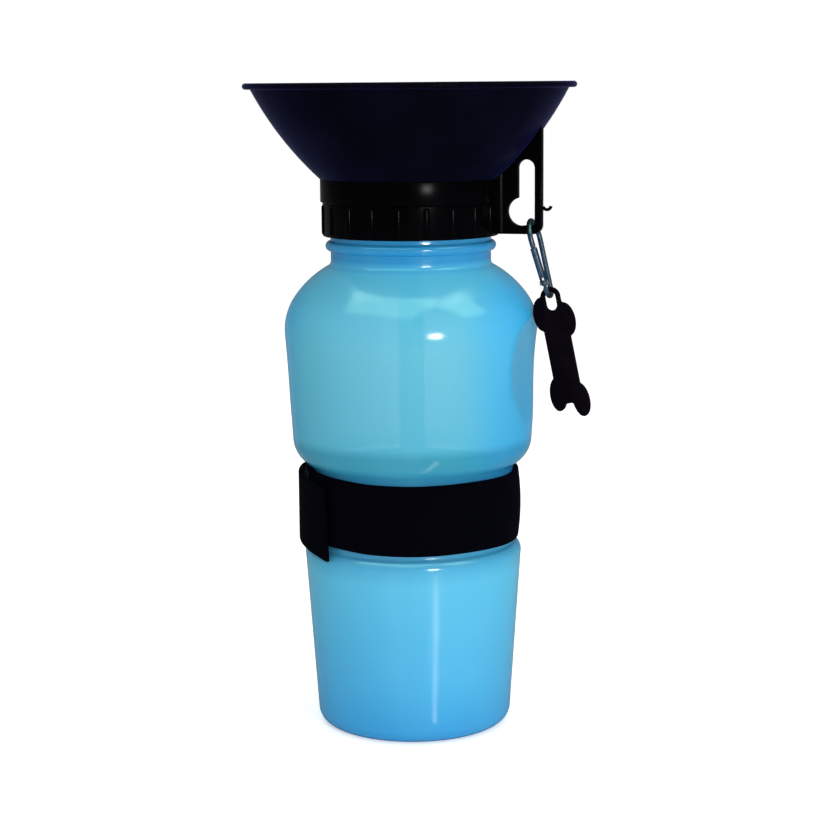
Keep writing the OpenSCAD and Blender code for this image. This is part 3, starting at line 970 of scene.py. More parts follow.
@dataclass
class Bottle:
    """The blown squeeze bottle: lower cup, waist, bulge with two grip dents, shoulder and neck."""

    base_r: float = 36.4
    base_edge_r: float = 5.5
    foot_w: float = 2.4
    pushup_h: float = 3.0
    cup_r: float = 40.6
    cup_h: float = 69.6
    cup_edge_r: float = 3.6
    waist_r: float = 37.6
    waist_h: float = 29.4
    waist_cuts: Point = (0.9, 1.6)
    inner_waist_cuts: Point = (0.5, 0.8)
    bulge_low_r: float = 44.6
    bulge_edge_r: float = 11.0
    bulge_r: float = 47.1
    bulge_side_h: float = 40.0
    shoulder_r1: float = 22.0
    shoulder_turn: float = 35.0
    shoulder_r2: float = 37.0
    neck_root_r: float = 2.0
    neck_r: float = 29.6
    neck_h: float = 26.4
    bead_rise: float = 5.6
    bead_r: float = 1.9
    bead_root: float = 0.45
    foot_root: float = 0.5
    lip_r: float = 0.6
    lip_gap: float = 0.1
    inner_lip_r: float = 0.5
    bore_from: float = 0.6
    bore_to: float = 2.4
    wall: float = 1.4
    neck_wall: float = 2.4
    dent_r: float = 66.0
    dent_x: float = 108.6
    dent_z: float = 133.5
    dent_half_h: float = 34.0
    dent_from_x: float = 20.0
    dent_melt: float = 0.32
    steps: int = 208
    outer_chord: float = 1.3
    inner_chord: float = 2.4
    thread_pitch: float = 4.0
    thread_z: float = 189.0
    thread_turns: float = 1.75
    thread_h: float = 1.1
    thread_sink: float = 0.2
    thread_half_w: Point = (0.85, 0.35)
    thread_steps: int = 72
    thread_fade: float = 0.07
    thread_tip: float = 0.15

    def __post_init__(self) -> None:
        """Works out the heights and centres that the outline needs, as the part's source does."""
        upright = self.cup_h - self.cup_edge_r - self.base_edge_r
        self.taper = math.degrees(math.atan((self.cup_r - self.base_r) / upright))
        self.edge_x = self.bulge_low_r - self.bulge_edge_r
        rise = math.sqrt(self.bulge_edge_r**2 - (self.waist_r - self.edge_x) ** 2)
        self.low = self.cup_h + self.waist_h + rise
        self.wide = self.low + self.bulge_side_h
        self.lean = math.degrees(math.atan((self.bulge_r - self.bulge_low_r) / self.bulge_side_h))
        gap = self.shoulder_r2 - self.shoulder_r1
        self.x1 = self.bulge_r - self.shoulder_r1
        self.x2 = self.x1 - gap * cos(self.shoulder_turn)
        self.z2 = self.wide - gap * sin(self.shoulder_turn)
        self.root_x = self.neck_r + self.neck_root_r
        reach = self.shoulder_r2 + self.neck_root_r
        self.turn = math.degrees(math.acos((self.root_x - self.x2) / reach))
        self.neck = self.z2 + reach * sin(self.turn)
        self.mouth = self.neck + self.neck_h
        self.foot = self.base_r - self.base_edge_r

    def dome(self, rise: float) -> Path:
        """The base's pushed-up middle.

        Args:
            rise: How far it lies above the outside.

        Returns:
            Its outline from the axis outwards.
        """
        r = self.foot - self.foot_w
        big = (r * r + self.pushup_h**2) / (2 * self.pushup_h)
        end = 90 - math.degrees(math.asin(r / big))
        return arc(0, self.pushup_h - big + rise, big, 90, end, 10)

    def side(self, inset: float) -> Path:
        """The side from the base's edge to the neck's root.

        Args:
            inset: How far the outline is moved inwards.

        Returns:
            The outline, with the waist's two corners softened.
        """
        waist = self.waist_r - inset
        cup_x, cup_z = self.cup_r - self.cup_edge_r, self.cup_h - self.cup_edge_r
        cup_e, bulge_e = self.cup_edge_r - inset, self.bulge_edge_r - inset
        top, start = (
            math.degrees(math.acos(min(1.0, (waist - x) / r))) if waist > x else 90.0
            for x, r in ((cup_x, cup_e), (self.edge_x, bulge_e))
        )
        ledge = (waist, cup_z + cup_e * sin(top))
        corner = (self.edge_x + bulge_e * cos(start), self.low - bulge_e * sin(start))
        turn = self.shoulder_turn
        path = arc(self.foot, self.base_edge_r, self.base_edge_r - inset, -90, -self.taper, 12)
        path += arc(cup_x, cup_z, cup_e, -self.taper, top, 10) + [ledge]
        path += arc(self.edge_x, self.low, bulge_e, -start, -self.lean, 16)
        path += arc(self.x1, self.wide, self.shoulder_r1 - inset, -self.lean, turn, 14)
        path += arc(self.x2, self.z2, self.shoulder_r2 - inset, turn, self.turn, 12)[1:]
        path += arc(self.root_x, self.neck, self.neck_root_r + inset, 180 + self.turn, 180, 6)
        ledge_cut, corner_cut = self.inner_waist_cuts if inset else self.waist_cuts
        return softened(path, (ledge, ledge_cut, 5), (corner, corner_cut, 5))

    def outer(self) -> Path:
        """The outside, from the middle of the base up to the mouth's edge."""
        bead = arc(self.neck_r, self.neck + self.bead_rise, self.bead_r, -90, 90, 12)
        foot = (self.foot - self.foot_w, 0.0)
        path = self.dome(0.0) + self.side(0.0) + bead
        path = softened(path, (foot, self.foot_root, 4), (bead[0], self.bead_root, 4))
        path += [(self.neck_r, self.mouth - self.lip_r - self.lip_gap)]
        path += arc(self.neck_r - self.lip_r, self.mouth - self.lip_r, self.lip_r, 0, 90, 4)
        path += [(self.neck_r - self.neck_wall + self.inner_lip_r, self.mouth)]
        return softened(path, (bead[-1], self.bead_root, 4))

    def inner(self) -> Path:
        """The inside, from the mouth down to the middle of the floor."""
        bore, lip = self.neck_r - self.neck_wall, self.inner_lip_r
        rise = [(self.neck_r - self.wall, self.neck + self.bore_from),
                (bore, self.neck + self.bore_to)]
        path = self.dome(self.wall) + self.side(self.wall) + rise
        return list(reversed(path + arc(bore + lip, self.mouth - lip, lip, 180, 90, 4)))

    def pressed(self, points: np.ndarray, depth: float) -> np.ndarray:
        """Presses the two grip dents, with soft edges, into points of one face.

        Args:
            points: The points.
            depth: How deep the face lies below the outside.

        Returns:
            The moved points.
        """
        for way in (-1.0, 1.0):
            dx = way * self.dent_x - points[:, 0]
            dz = self.dent_z - points[:, 2]
            away = np.hypot(dx, dz)
            press = np.logaddexp(0.0, (self.dent_r + depth - away) / self.dent_melt)
            near = (np.abs(dz) < self.dent_half_h) & (points[:, 0] * way > self.dent_from_x)
            press = np.where(near, self.dent_melt * press, 0.0)
            points[:, 0] -= press * dx / away
            points[:, 2] -= press * dz / away
        return points

    def faded(self, points: np.ndarray, base: float, start_z: float) -> np.ndarray:
        """Lets a thread's ridge rise gently at both of its ends.

        Args:
            points: The ridge's points.
            base: Radius at its foot.
            start_z: Height of its lower end.

        Returns:
            The moved points.
        """
        radius = np.hypot(points[:, 0], points[:, 1])
        rise = (points[:, 2] - start_z) / (self.thread_pitch * self.thread_turns)
        ends = np.minimum(rise, 1 - rise) / self.thread_fade + self.thread_tip
        ease = np.clip(ends, 0, 1)
        ease = ease * ease * (3 - 2 * ease)
        points[:, :2] *= ((base + (radius - base) * ease) / radius)[:, None]
        return points

    def thread(self, name: str, base: float, crest: float, start_z: float) -> Piece:
        """A thread ridge on the helix that the neck and the collar share.

        Args:
            name: Name of the piece.
            base: Radius at the ridge's foot, a little inside the wall that carries it.
            crest: Radius at its crest.
            start_z: Height of its lower end.

        Returns:
            The ridge as a closed mesh.
        """
        foot, top = self.thread_half_w
        loop = [(base, -foot), (crest, -top), (crest, top), (base, foot)]
        piece = drawn(name, [[(r, 0.0, start_z + z) for r, z in loop]], True)
        count = int(self.thread_steps * self.thread_turns)
        modified(piece, "SCREW", angle=math.tau * self.thread_turns, axis="Z", steps=count,
                 render_steps=count, screw_offset=self.thread_pitch * self.thread_turns * MM,
                 use_merge_vertices=False, use_smooth_shade=False)
        with editing(piece, "DESELECT"):
            bpy.ops.mesh.select_non_manifold()
            bpy.ops.mesh.edge_face_add()
        return cleaned(moved(piece, self.faded, base, start_z), 1e-7)

    def build(self) -> None:
        """Spins the shell's two faces, presses the dents and adds the thread."""
        outside, inside = MilkyShell().material(), MilkyShell(inner=True).material()
        shell = spun("squeeze_bottle", divided(self.outer(), self.outer_chord), self.steps)
        lining = spun("bottle_inside", divided(self.inner(), self.inner_chord), self.steps)
        ridge = self.thread("neck_thread", self.neck_r - self.thread_sink,
                            self.neck_r + self.thread_h, self.thread_z)
        moved(shell, self.pressed, 0.0)
        moved(lining, self.pressed, self.wall)
        for piece, material in ((shell, outside), (lining, inside), (ridge, outside)):
            piece.data.materials.append(material)
        cleaned(joined([shell, lining]))
        joined([shell, ridge])
        dressed(shell, Body.BOTTLE, "blue_shell", "bottle", 40, outside, inside)


# --- Strap ---


@dataclass
class Strap:
    """Webbing wound once round the waist and lapped over its own start, with its touch tape."""

    width: float = 25.6
    thickness: float = 1.7
    patch_t: float = 0.7
    patch_gap: float = 0.05
    low_z: float = 71.5
    inner_r: float = 38.75
    lift: float = 3.25
    start: float = 160.0
    climb: float = 42.0
    turn: float = 438.0
    patch_turn: float = 48.0
    patch_inset: float = 1.0
    loop_start: float = 4.0
    hook_start: float = 364.0
    hook_pitch: float = 0.0011
    start_rise: float = 1.8
    start_ease: Point = (100.0, 55.0)
    tail_from: float = 372.0
    tail_drop: float = 3.0
    tip_drop: float = 1.4
    tip_turn: float = 14.0
    slant: float = 1.2
    belly: float = 0.9
    belly_at: Point = (195.0, 55.0)
    ripple: float = 0.12
    ripples: float = 7.0
    ripple_phase: float = 0.6
    sway: float = 0.15
    sways: float = 5.0

    def radius(self, t: np.ndarray) -> np.ndarray:
        """Middle radius at an angle from the strap's start."""
        k = np.clip((t - 360 + self.climb) / self.climb, 0, 1)
        return self.inner_r + self.lift * k * k * (3 - 2 * k)

    def length(self) -> float:
        """Length of the strap along its middle line, in millimetres."""
        t = np.linspace(0, self.turn, 400)
        turns = np.radians(t)
        spots = self.radius(t)[:, None] * np.stack([np.cos(turns), np.sin(turns)], 1)
        return float(np.linalg.norm(np.diff(spots, axis=0), axis=1).sum())

    def wrapped(self, points: np.ndarray, t0: float, t1: float, out: float,
                trim: float) -> np.ndarray:
        """Bends a flat strip round the waist.

        Args:
            points: Points of a strip of 1 x 1 m about the origin.
            t0: Angle of the strip's start.
            t1: Angle of its end.
            out: Offset outwards from the strap's middle line.
            trim: Width taken off each edge.

        Returns:
            The bent points.
        """
        u, v = (points[:, k] * MM + 0.5 for k in (0, 1))
        t = t0 + (t1 - t0) * u
        end = np.clip((t - self.tail_from) / (self.turn - self.tail_from), 0, 1)
        tip = np.clip((t - self.turn + self.tip_turn) / self.tip_turn, 0, 1)
        t = t + self.slant * (0.5 - v) * tip * 2
        across = (v - 0.5) * 2
        middle, spread = self.belly_at
        right = np.exp(-(((t - middle) / spread) ** 2))
        ripple = np.sin(np.radians(t) * self.ripples + self.ripple_phase)
        wave = self.ripple * ripple * np.sin(math.pi * v)
        r = self.radius(t) + out
        r = r + self.belly * right * (1 - across**2) + np.maximum(wave, 0.0)
        z = self.low_z + trim + (self.width - 2 * trim) * v
        z = z - self.tail_drop * (end * end) - self.tip_drop * end**6 * (1 - v)
        ease_to, ease = self.start_ease
        z = z + self.start_rise * np.clip((ease_to - t) / ease, 0, 1)
        z = z + self.sway * np.sin(np.radians(t) * self.sways)
        angle = np.radians(self.start + t)
        return np.stack([r * np.cos(angle), r * np.sin(angle), z], 1)

    def strip(self, name: str, t0: float, turn: float, out: float, thick: float,
              trim: float) -> Piece:
        """A strip of the strap as a closed sheet of its real thickness.

        Args:
            name: Name of the piece.
            t0: Angle of its start.
            turn: How far it reaches round the waist.
            out: Offset outwards from the strap's middle line.
            thick: Its thickness.
            trim: Width taken off each edge.

        Returns:
            The strip.
        """
        bpy.ops.mesh.primitive_grid_add(x_subdivisions=max(8, int(turn / 2)), y_subdivisions=10,
                                        size=1.0)
        piece = moved(bpy.context.object, self.wrapped, t0, t0 + turn, out, trim)
        piece.name = piece.data.name = name
        modified(piece, "SOLIDIFY", thickness=thick * MM, offset=0.0, use_even_offset=True)
        bevelled(piece, min(0.35, thick * 0.3), 2, 60)
        with editing(piece):
            bpy.ops.mesh.normals_make_consistent(inside=False)
        return piece

    def build(self) -> None:
        long = self.length()
        web = Webbing(long * MM, self.width * MM).material()
        band = self.strip("strap_webbing", 0.0, self.turn, 0.0, self.thickness, 0.0)
        dressed(band, Body.BOTTLE, "webbing", "strap_band", 50, web)
        self.width * MM
        out = self.thickness / 2 + self.patch_gap + self.patch_t / 2
        patch_l = math.radians(self.patch_turn) * self.inner_r
        size = (self.width - 2 * self.patch_inset) * MM, patch_l * MM
        for kind, t0, side, tape in (
            ("loop", self.loop_start, out, TouchTape("loop_tape")),
            ("hook", self.hook_start, -out, TouchTape("hook_tape", self.hook_pitch)),
        ):
            patch = self.strip(kind + "_patch", t0, self.patch_turn, side, self.patch_t,
                               self.patch_inset)
            node = f"strap_{kind}_patch"
            dressed(patch, Body.BOTTLE, "hook_loop", node, 50, tape.material())


# --- Bowl and collar ---


@dataclass
class Bowl:
    """The flared drinking bowl with its rolled lip, valve post, snap ring and tube socket."""

    low_r: float = 33.3
    low_z: float = 204.92
    lip_r: float = 61.0
    rim_z: float = 239.72
    edge_r: float = 1.15
    side_r: float = 121.0
    wall: float = 2.0
    mouth_r: float = 0.55
    floor_z: float = 206.92
    post_r: float = 7.4
    post_h: float = 9.6
    bore_r: float = 5.05
    lip_low_z: float = 215.02
    stem_hole_r: float = 3.95
    channel_r: float = 3.7
    socket_r: float = 6.65
    socket_bore_r: float = 4.75
    socket_h: float = 10.0
    tube_top_z: float = 203.82
    snap_r: float = 23.8
    snap_t: float = 2.0
    snap_low_z: float = 199.72
    snap_h: float = 2.9
    snap_tip_r: float = 24.7
    snap_tip_h: float = 1.0
    snap_lead: float = 0.6
    play: float = 0.1
    port_r: float = 1.4
    port_l: float = 22.0

    def __post_init__(self) -> None:
        """Works out the wall's radius at the lip and the centre of the side's arc."""
        self.top_r, self.top_z = self.lip_r - 2 * self.edge_r, self.rim_z - self.edge_r
        dx, dz = self.top_r - self.low_r, self.top_z - self.low_z
        chord = math.hypot(dx, dz)
        dist = math.sqrt(self.side_r**2 - (chord / 2) ** 2)
        self.cx = (self.top_r + self.low_r) / 2 - dist * dz / chord
        self.cz = (self.top_z + self.low_z) / 2 + dist * dx / chord

    def height(self, radius: float) -> float:
        """Height of the outer face at a radius."""
        return self.cz - math.sqrt(max(0.0, self.side_r**2 - (radius - self.cx) ** 2))

    def outline(self) -> Path:
        """The whole section as one loop that keeps off the axis."""
        start = math.degrees(math.atan2(self.low_z - self.cz, self.low_r - self.cx))
        end = math.degrees(math.atan2(self.top_z - self.cz, self.top_r - self.cx))
        inner_r = self.side_r - self.wall
        low = math.degrees(math.asin((self.floor_z - self.cz) / inner_r))
        outer = arc(self.cx, self.cz, self.side_r, start, end, 36)
        inner = arc(self.cx, self.cz, inner_r, end, low, 36)
        soft, post_top = self.mouth_r, self.floor_z + self.post_h
        path = outer[:-1] + arc(self.lip_r - self.edge_r, self.top_z, self.edge_r, -150, 90, 18)
        path += [(self.top_r - self.wall + soft, self.rim_z)]
        path += arc(inner[0][0] + soft, self.rim_z - soft, soft, 90, 175, 4)[1:] + inner[1:]
        tube_z, socket_z = self.tube_top_z + self.play, self.low_z - self.socket_h
        path += [(self.post_r, self.floor_z), (self.post_r, post_top)]
        path += stairs(post_top, (self.stem_hole_r, self.lip_low_z), (self.bore_r, self.floor_z),
                       (self.channel_r, tube_z), (self.socket_bore_r, socket_z),
                       (self.socket_r, self.low_z), (self.snap_r - self.snap_t, self.snap_low_z))
        snap_z, tip_r = self.snap_low_z + self.snap_h, self.snap_tip_r
        path += [(self.snap_r - self.snap_lead, self.snap_low_z), (tip_r, snap_z - self.snap_tip_h)]
        path += [(tip_r, snap_z), (self.snap_r, snap_z), (self.snap_r, self.low_z)]
        return softened(path, ((self.post_r, self.floor_z), 0.7, 4),
                        ((self.post_r, post_top), 0.5, 4), (inner[-1], 1.6, 6), (outer[0], 0.3, 3))

    def build(self) -> None:
        """Spins the bowl and drills the four ports."""
        bowl = spun("drinking_bowl", self.outline(), 160, closed=True)
        port_z = self.floor_z + self.port_r + self.play
        for turn in (45, 135):
            way = math.radians(90), 0, math.radians(turn)
            cut(bowl, rod(20, self.port_r, self.port_l, location=(0, 0, port_z * MM), rotation=way))
        finish = BlackMoulding("bowl_black").material()
        dressed(bowl, Body.CAP, "black_moulding", "bowl", 38, finish)


def stairs(z: float, *steps: Point) -> Path:
    """A stepped outline.

    Args:
        z: Height of the first step's start.
        steps: For each step its radius and the height that it goes to.

    Returns:
        The two points of each step.
    """
    path: Path = []
    for radius, end in steps:
        path += [(radius, z), (radius, end)]
        z = end
    return path


@dataclass
class Collar:
    """The screw collar: ribbed grip band, roof, keyhole plate with its hook, inner thread."""

    outer_r: float = 33.2
    band_r: float = 32.4
    low_z: float = 184.12
    step_z: float = 196.52
    top_z: float = 204.92
    roof_low_z: float = 202.72
    bore_r: float = 31.2
    hole_r: float = 24.0
    groove_r: float = 28.2
    groove_w: float = 2.0
    groove_h: float = 1.2
    notch: float = 0.15
    notch_low: float = 0.5
    notch_high: float = 0.35
    rib_r: float = 1.3
    rib_at: float = 31.8
    rib_count: int = 20
    rib_low_gap: float = 0.4
    rib_top_gap: float = 0.7
    plate_reach: float = 49.9
    plate_t: float = 3.4
    plate_z: float = 184.92
    plate_edge: float = 0.45
    plate_sink: float = 1.4
    plate_top_r: float = 33.6
    plate_top_drop: float = 0.5
    plate_gap: float = 0.18
    corner_r: float = 3.4
    slot: tuple[float, float, float, float] = (41.0, 47.2, 188.22, 211.82)
    slot_corner_r: float = 1.0
    keyhole: Triple = (42.2, 193.02, 5.1)
    hook: Point = (51.5, 195.32)
    hook_r: float = 1.5
    hook_wire_r: float = 0.6
    root_r: float = 4.2
    root_low: float = 0.6
    root_sink: float = 1.5
    root_half: float = 0.3
    root_gap: float = 0.2
    root_top_r: float = 33.4

    def shell(self) -> Piece:
        """The round body with softened edges."""
        groove = self.groove_r - self.groove_w / 2, self.groove_r + self.groove_w / 2
        notch_r, top = self.band_r - self.notch, self.top_z
        path = [(self.bore_r, self.low_z), (self.band_r, self.low_z),
                (self.band_r, self.step_z - self.notch_low),
                (notch_r, self.step_z - self.notch_high)]
        path += [(notch_r, self.step_z), (self.outer_r, self.step_z), (self.outer_r, top)]
        path += stairs(top, (groove[1], top - self.groove_h), (groove[0], top),
                       (self.hole_r, self.roof_low_z)) + [(self.bore_r, self.roof_low_z)]
        return bevelled(spun("screw_collar_shell", path, 160, closed=True), 0.3, 3, 50)

    def ribs(self) -> Piece:
        """Half-round grip ribs with domed ends."""
        height = self.step_z - self.rib_top_gap - self.low_z - self.rib_low_gap
        rib = bevelled(rod(20, self.rib_r, height), 1.1, 4, 60)
        place = shifted(self.rib_at, 0, self.low_z + self.rib_low_gap + height / 2)
        return ring(rib, self.rib_count, 0.5, place)

    def keyhole_outline(self) -> Path:
        """The slot with its round bulge, as one loop."""
        x0, x1, z0, z1 = self.slot
        kx, kz, kr = self.keyhole
        r, corner = (x1 - x0) / 2, self.slot_corner_r
        meet_low = math.degrees(math.asin((z0 - kz) / kr))
        meet_high = math.degrees(math.acos((x0 - kx) / kr))
        path = arc(x1 - corner, z0 + corner, corner, -90, 0, 5) + arc(x0 + r, z1 - r, r, 0, 180, 20)
        return path + arc(kx, kz, kr, meet_high, 360 + meet_low, 24)

    def plate(self, bowl: Bowl) -> Piece:
        """The handle plate with its keyhole and hook.

        Args:
            bowl: The bowl, whose underside the plate's top follows.

        Returns:
            The plate.
        """
        x0, reach, r = self.outer_r - self.plate_sink, self.plate_reach, self.corner_r
        path = [(x0, self.plate_z)] + arc(reach - r, self.plate_z + r, r, -90, 0, 10)
        path += [(float(x), float(bowl.height(x) - self.plate_gap))
                 for x in np.linspace(reach, self.plate_top_r, 16)]
        path += [(x0, self.top_z - self.plate_top_drop)]
        outlines = [path, self.keyhole_outline()]
        plate = plated("handle_plate", outlines, self.plate_t, self.plate_edge)
        curl = [(x, 0.0, z) for x, z in arc(*self.hook, self.hook_r, 195, 352, 14)]
        return joined([plate, wired("plate_hook", curl, self.hook_wire_r, 12)])

    def under(self, points: np.ndarray, bowl: Bowl) -> np.ndarray:
        """Lets the upper ends of the plate's roundings follow the bowl's underside.

        Args:
            points: The roundings' points.
            bowl: The bowl.

        Returns:
            The moved points.
        """
        radius = np.hypot(points[:, 0], points[:, 1])
        flat = self.top_z - self.plate_top_drop
        top = [bowl.height(r) - self.root_gap if r > self.root_top_r else flat for r in radius]
        points[:, 2] = np.where(points[:, 2] > self.step_z, np.array(top), points[:, 2])
        return points

    def roots(self, bowl: Bowl) -> Piece:
        """The hollow roundings that carry the plate's faces over into the collar.

        Args:
            bowl: The bowl.

        Returns:
            The roundings on both sides of the plate.
        """
        r, low = self.root_r, self.plate_z + self.root_low
        centre_y = self.plate_t / 2 + r
        centre_x = math.sqrt((self.outer_r + r) ** 2 - centre_y**2)
        turn = math.degrees(math.atan2(centre_y, centre_x))
        hollow = arc(centre_x, centre_y, r, 180 + turn, 270, 8)
        back, half = self.outer_r - self.root_sink, self.root_half
        outline = hollow + [(centre_x, half), (back, half), (back, hollow[0][1] - 2 * half)]
        piece = drawn("plate_roots", [[(x, y, low) for x, y in outline]], True)
        with editing(piece):
            bpy.ops.mesh.edge_face_add()
            rise = {"value": (0, 0, (self.top_z - self.plate_top_drop - low) * MM)}
            bpy.ops.mesh.extrude_region_move(TRANSFORM_OT_translate=rise)
        moved(cleaned(piece, 1e-7), self.under, bowl)
        mirror = {"use_axis": (False, True, False), "use_mirror_merge": False}
        return cleaned(modified(piece, "MIRROR", **mirror), 1e-7)

    def build(self, bottle: Bottle, bowl: Bowl) -> None:
        """Assembles the collar.

        Args:
            bottle: The bottle, whose thread it shares.
            bowl: The bowl that it carries.
        """
        thread = bottle.thread("collar_thread", self.bore_r + bottle.thread_sink,
                               self.bore_r - bottle.thread_h,
                               bottle.thread_z - bottle.thread_pitch / 2)
        collar = joined([self.shell(), self.ribs(), self.plate(bowl), self.roots(bowl), thread])
        collar.name = collar.data.name = "collar"
        finish = BlackMoulding("collar_black", (0.0004, 0.0004, 0.0008), (0.0009, 0.0009, 0.0014),
                               sheen_weight=0.01, roughness=0.15, specular=0.03).material()
        dressed(collar, Body.CAP, "black_moulding", "screw_collar", 38, finish)


@dataclass
class Valve:
    """The push-pull knob on the post, with its stem, foot flange and grip ridges."""

    low_z: float = 207.82
    flange_r: float = 5.0
    flange_top_z: float = 210.97
    flange_edge: float = 0.4
    stem_r: float = 3.9
    knob_low_z: float = 216.92
    knob_r: float = 9.4
    knob_h: float = 6.0
    grips: int = 24
    grip_r: float = 0.55
    grip_h: float = 3.2
    grip_z: float = 2.1
    grip_sink: float = 0.56
    rim_in: float = 1.9
    dish: Sequence[Point] = ((5.6, 1.0), (4.4, 1.1), (3.6, 0.7), (2.0, 0.15), (0.0, 0.0))

    def build(self) -> None:
        """Spins the knob and puts grip ridges round it."""
        r, z, top, soft = self.knob_r, self.knob_low_z, self.flange_top_z, self.flange_edge
        path = [(0.0, self.low_z), (self.flange_r - soft, self.low_z)]
        path += [(self.flange_r, self.low_z + soft), (self.flange_r, top - soft)]
        path += [(self.flange_r - soft, top), (self.stem_r, top), (self.stem_r, z)]
        path += [(r - self.rim_in, z)]
        path += arc(r - 1.3, z + 1.0, 1.0, -90, 0, 4)
        path += arc(r - 1.5, z + self.knob_h - 2.8, 1.2, 0, 75, 6)
        path += [(x, z + self.knob_h - drop) for x, drop in self.dish]
        knob = spun("valve_knob_cap", path, 96)
        ridge = bevelled(rod(12, self.grip_r, self.grip_h), 0.4, 3, 60)
        place = shifted(r - self.grip_sink, 0, z + self.grip_z)
        knob = joined([knob, ring(ridge, self.grips, 0.0, place)])
        black = PlainPlastic("valve_black", (0.004, 0.004, 0.006), (0.007, 0.007, 0.010), 0.38,
                             0.06)
        dressed(knob, Body.VALVE, "valve_plastic", "valve_knob", 40, black.material())


# --- Clip and fob ---


@dataclass
class Clip:
    """The spring clip: bent wire frame, forked gate, rivet and the coil inside the gate."""

    place_x: float = 45.5
    place_z: float = 189.72
    lean: float = 15.0
    wire_r: float = 1.0
    bow_r: float = 6.6
    toe_r: float = 3.6
    long: float = 28.0
    leg_turn: float = 9.70
    leg_l: float = 17.55
    nose_l: float = 1.6
    hinge_s: float = 15.35
    gate_r: float = 1.25
    rivet_r: float = 0.6
    fork: float = 1.1
    fork_l: float = 4.2
    fork_z: float = 0.1
    nose_gap: float = 0.3
    nose_r: float = 0.4
    tongue_t: float = 0.9
    tongue_edge: float = 0.12
    tongue_w: float = 1.8
    tongue_l: float = 0.2
    shy: float = 0.98
    head_gap: float = 0.1
    head: Sequence[Point] = ((0.0, 0.3), (0.45, 0.26), (0.75, 0.14), (0.9, 0.02), (0.9, 0.0))
    coil_r: float = 0.46
    coil_wire_r: float = 0.11
    coil_turns: int = 13
    coil_steps: int = 12
    coil_from_to: Point = (2.5, 9.3)

    def __post_init__(self) -> None:
        """Works out the frames of the clip and of its gated leg."""
        self.on_clip = shifted(self.place_x, 0, self.place_z) @ turned(-self.lean, "Y")
        self.on_gate = self.on_clip @ self.on_leg(-1)

    def on_leg(self, side: int) -> Matrix:
        """A leg's frame in the clip's: its origin at the leg's upper end, -Z down the leg."""
        y, z = side * self.bow_r * cos(self.leg_turn), -self.bow_r - self.bow_r * sin(self.leg_turn)
        return shifted(0, y, z) @ turned(-side * self.leg_turn, "X")

    def leg(self, side: int, s: float) -> Triple:
        """The spot at a distance down a leg."""
        return tuple(self.on_leg(side) @ (Vector((0, 0, -s)) * MM) / MM)

    @staticmethod
    def bow(z: float, r: float, start: float, end: float, steps: int) -> list[Triple]:
        """Spots along a bow in the clip's plane, with angles from -Z."""
        turns = np.radians(np.linspace(start, end, steps + 1))
        return [(0.0, r * math.sin(t), z - r * math.cos(t)) for t in turns]

    def frame_path(self) -> list[Triple]:
        """The wire's middle line from the nose, over the upper bow and round to the hinge."""
        top = 90 - self.leg_turn
        path = [self.leg(-1, self.nose_l), self.leg(-1, self.nose_l * 0.5)]
        path += self.bow(-self.bow_r, self.bow_r, 360 - top, top, 30)
        path += [self.leg(1, self.leg_l * k / 6) for k in range(1, 6)]
        path += self.bow(self.toe_r - self.long, self.toe_r, top, -top, 22)
        return path + [self.leg(-1, self.leg_l - 0.4)]

    def build(self) -> None:
        """Makes the four pieces of the clip."""
        steel = ClipSteel().material()
        pin = ClipSteel("rivet_steel", (0.62, 0.66, 0.70), (0.35, 0.38, 0.42), 0.18).material()
        self._frame(steel)
        self._gate(steel)
        self._rivet(pin)
        self._spring(pin)

    def _frame(self, steel: Material) -> None:
        """The wire frame, with the flat tongue that the gate's fork takes in."""
        wire = wired("clip_wire", self.frame_path(), self.wire_r, 20)
        half, end = self.tongue_w / 2, -self.leg_l - self.tongue_l
        path = arc(0, -self.hinge_s, self.wire_r * self.shy, 0, 180, 12)
        path += [(-half, end), (half, end)]
        tongue = plated("clip_tongue", [path], self.tongue_t, self.tongue_edge)
        tongue.data.transform(self.on_leg(-1) @ turned(90, "Z"))
        piece = joined([bevelled(wire, 0.35, 3, 60), tongue])
        piece.data.transform(self.on_clip)
        dressed(piece, Body.CLIP, "clip_metal", "clip_frame", 40, steel)

    def _gate(self, steel: Material) -> None:
        """The gate: a round bar with a forked, rounded hinge end."""
        g, nose, foot = self.gate_r, -self.nose_l - self.nose_gap, -self.hinge_s
        r = self.nose_r
        path = [(0.0, foot - g * self.shy)] + arc(0, foot, g, -78, 0, 10)
        path += [(g, nose - r - 0.1)] + arc(g - r, nose - r, r, 0, 90, 4) + [(0.0, nose)]
        gate = spun("clip_gate_bar", path, 32)
        bpy.ops.mesh.primitive_cube_add(size=1.0, location=(0, 0, (foot + self.fork_z) * MM))
        tool = bpy.context.object
        tool.scale = Vector((self.fork, self.fork_l, self.fork_l)) * MM
        cut(gate, settled(tool))
        bevelled(gate, 0.07, 2, 45).data.transform(self.on_gate)
        dressed(gate, Body.GATE, "clip_metal", "clip_gate", 40, steel)

    def _rivet(self, pin: Material) -> None:
        """The rivet through the fork, with a domed head at each end."""
        low = -self.gate_r - self.head_gap
        path = [(r, low - rise) for r, rise in self.head] + [(self.rivet_r, low)]
        rivet = spun("gate_pin", path + [(r, -z) for r, z in reversed(path)], 32)
        rivet.data.transform(self.on_gate @ shifted(0, 0, -self.hinge_s) @ turned(90, "Y"))
        dressed(rivet, Body.CLIP, "rivet_steel", "gate_rivet", 50, pin)

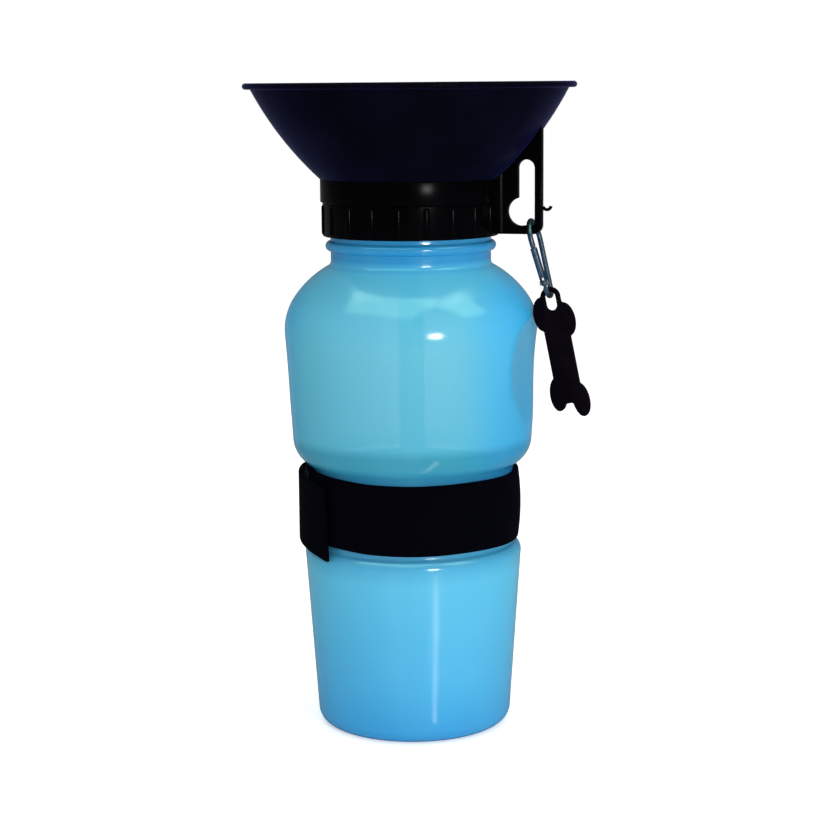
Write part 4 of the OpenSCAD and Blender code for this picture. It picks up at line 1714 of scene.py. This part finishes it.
    def _spring(self, pin: Material) -> None:
        """The coil spring inside the gate."""
        per = self.coil_steps
        count = self.coil_turns * per
        low, high = (-self.hinge_s + s for s in self.coil_from_to)
        path = []
        for i in range(count + 1):
            t, r = math.tau * i / per, self.coil_r
            path.append((r * math.cos(t), r * math.sin(t), low + (high - low) * i / count))
        coil = wired("gate_coil", path, self.coil_wire_r, 8)
        coil.data.transform(self.on_gate)
        dressed(coil, Body.GATE, "rivet_steel", "gate_spring", 60, pin)


@dataclass
class Fob:
    """The bone-shaped tag with its eye, rounded along its edges."""

    edge: float = 0.5
    facet: float = 2.0

    def build(self) -> None:
        """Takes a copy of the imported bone, joins its facets and rounds its edges."""
        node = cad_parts["bone_fob"]
        fob = twin(node)
        fob.parent, fob.matrix_world = None, node.matrix_world.copy()
        fob.name = fob.data.name = "bone_tag"
        cleaned(settled(fob), 1e-5)
        with editing(fob):
            bpy.ops.mesh.dissolve_limited(angle_limit=math.radians(self.facet))
        bevelled(fob, self.edge, 3, 60, use_clamp_overlap=False)
        vinyl = PlainPlastic("fob_vinyl", (0.0014, 0.0004, 0.0018), (0.0028, 0.0008, 0.0032), 0.50,
                             0.03, grain=0.00005, scale=1100.0)
        dressed(fob, Body.FOB, "fob_vinyl", "bone_fob", 40, vinyl.material())


# --- Small parts that keep their CAD shape ---


def dress_cad_parts() -> None:
    """Gives the CAD nodes that stay in view their finishes."""
    rubber = PlainPlastic("seal_rubber", (0.012, 0.012, 0.013), (0.018, 0.018, 0.020), 0.7, 0.3)
    tube = PlainPlastic("tube_plastic", (0.16, 0.42, 0.56), (0.20, 0.48, 0.62), 0.3, 0.4, 0.85)
    for finish, names in ((tube, ("dip_tube",)),
                          (rubber, ("neck_gasket", "bowl_seal_ring", "valve_seal"))):
        material = finish.material()
        for name in names:
            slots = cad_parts[name].data.materials
            slots.clear()
            slots.append(material)
            LOG.info("%s: CAD shape with the finish %s", name, material.name)


def main() -> None:
    """Builds the studio and the sub-assemblies from the base up."""
    logging.basicConfig(level=logging.INFO, format="%(name)s: %(message)s")
    bottle, bowl = Bottle(), Bowl()
    Studio().build()
    bottle.build()
    Strap().build()
    Collar().build(bottle, bowl)
    bowl.build()
    Valve().build()
    Clip().build()
    Fob().build()
    dress_cad_parts()


if __name__ == "__main__":
    main()
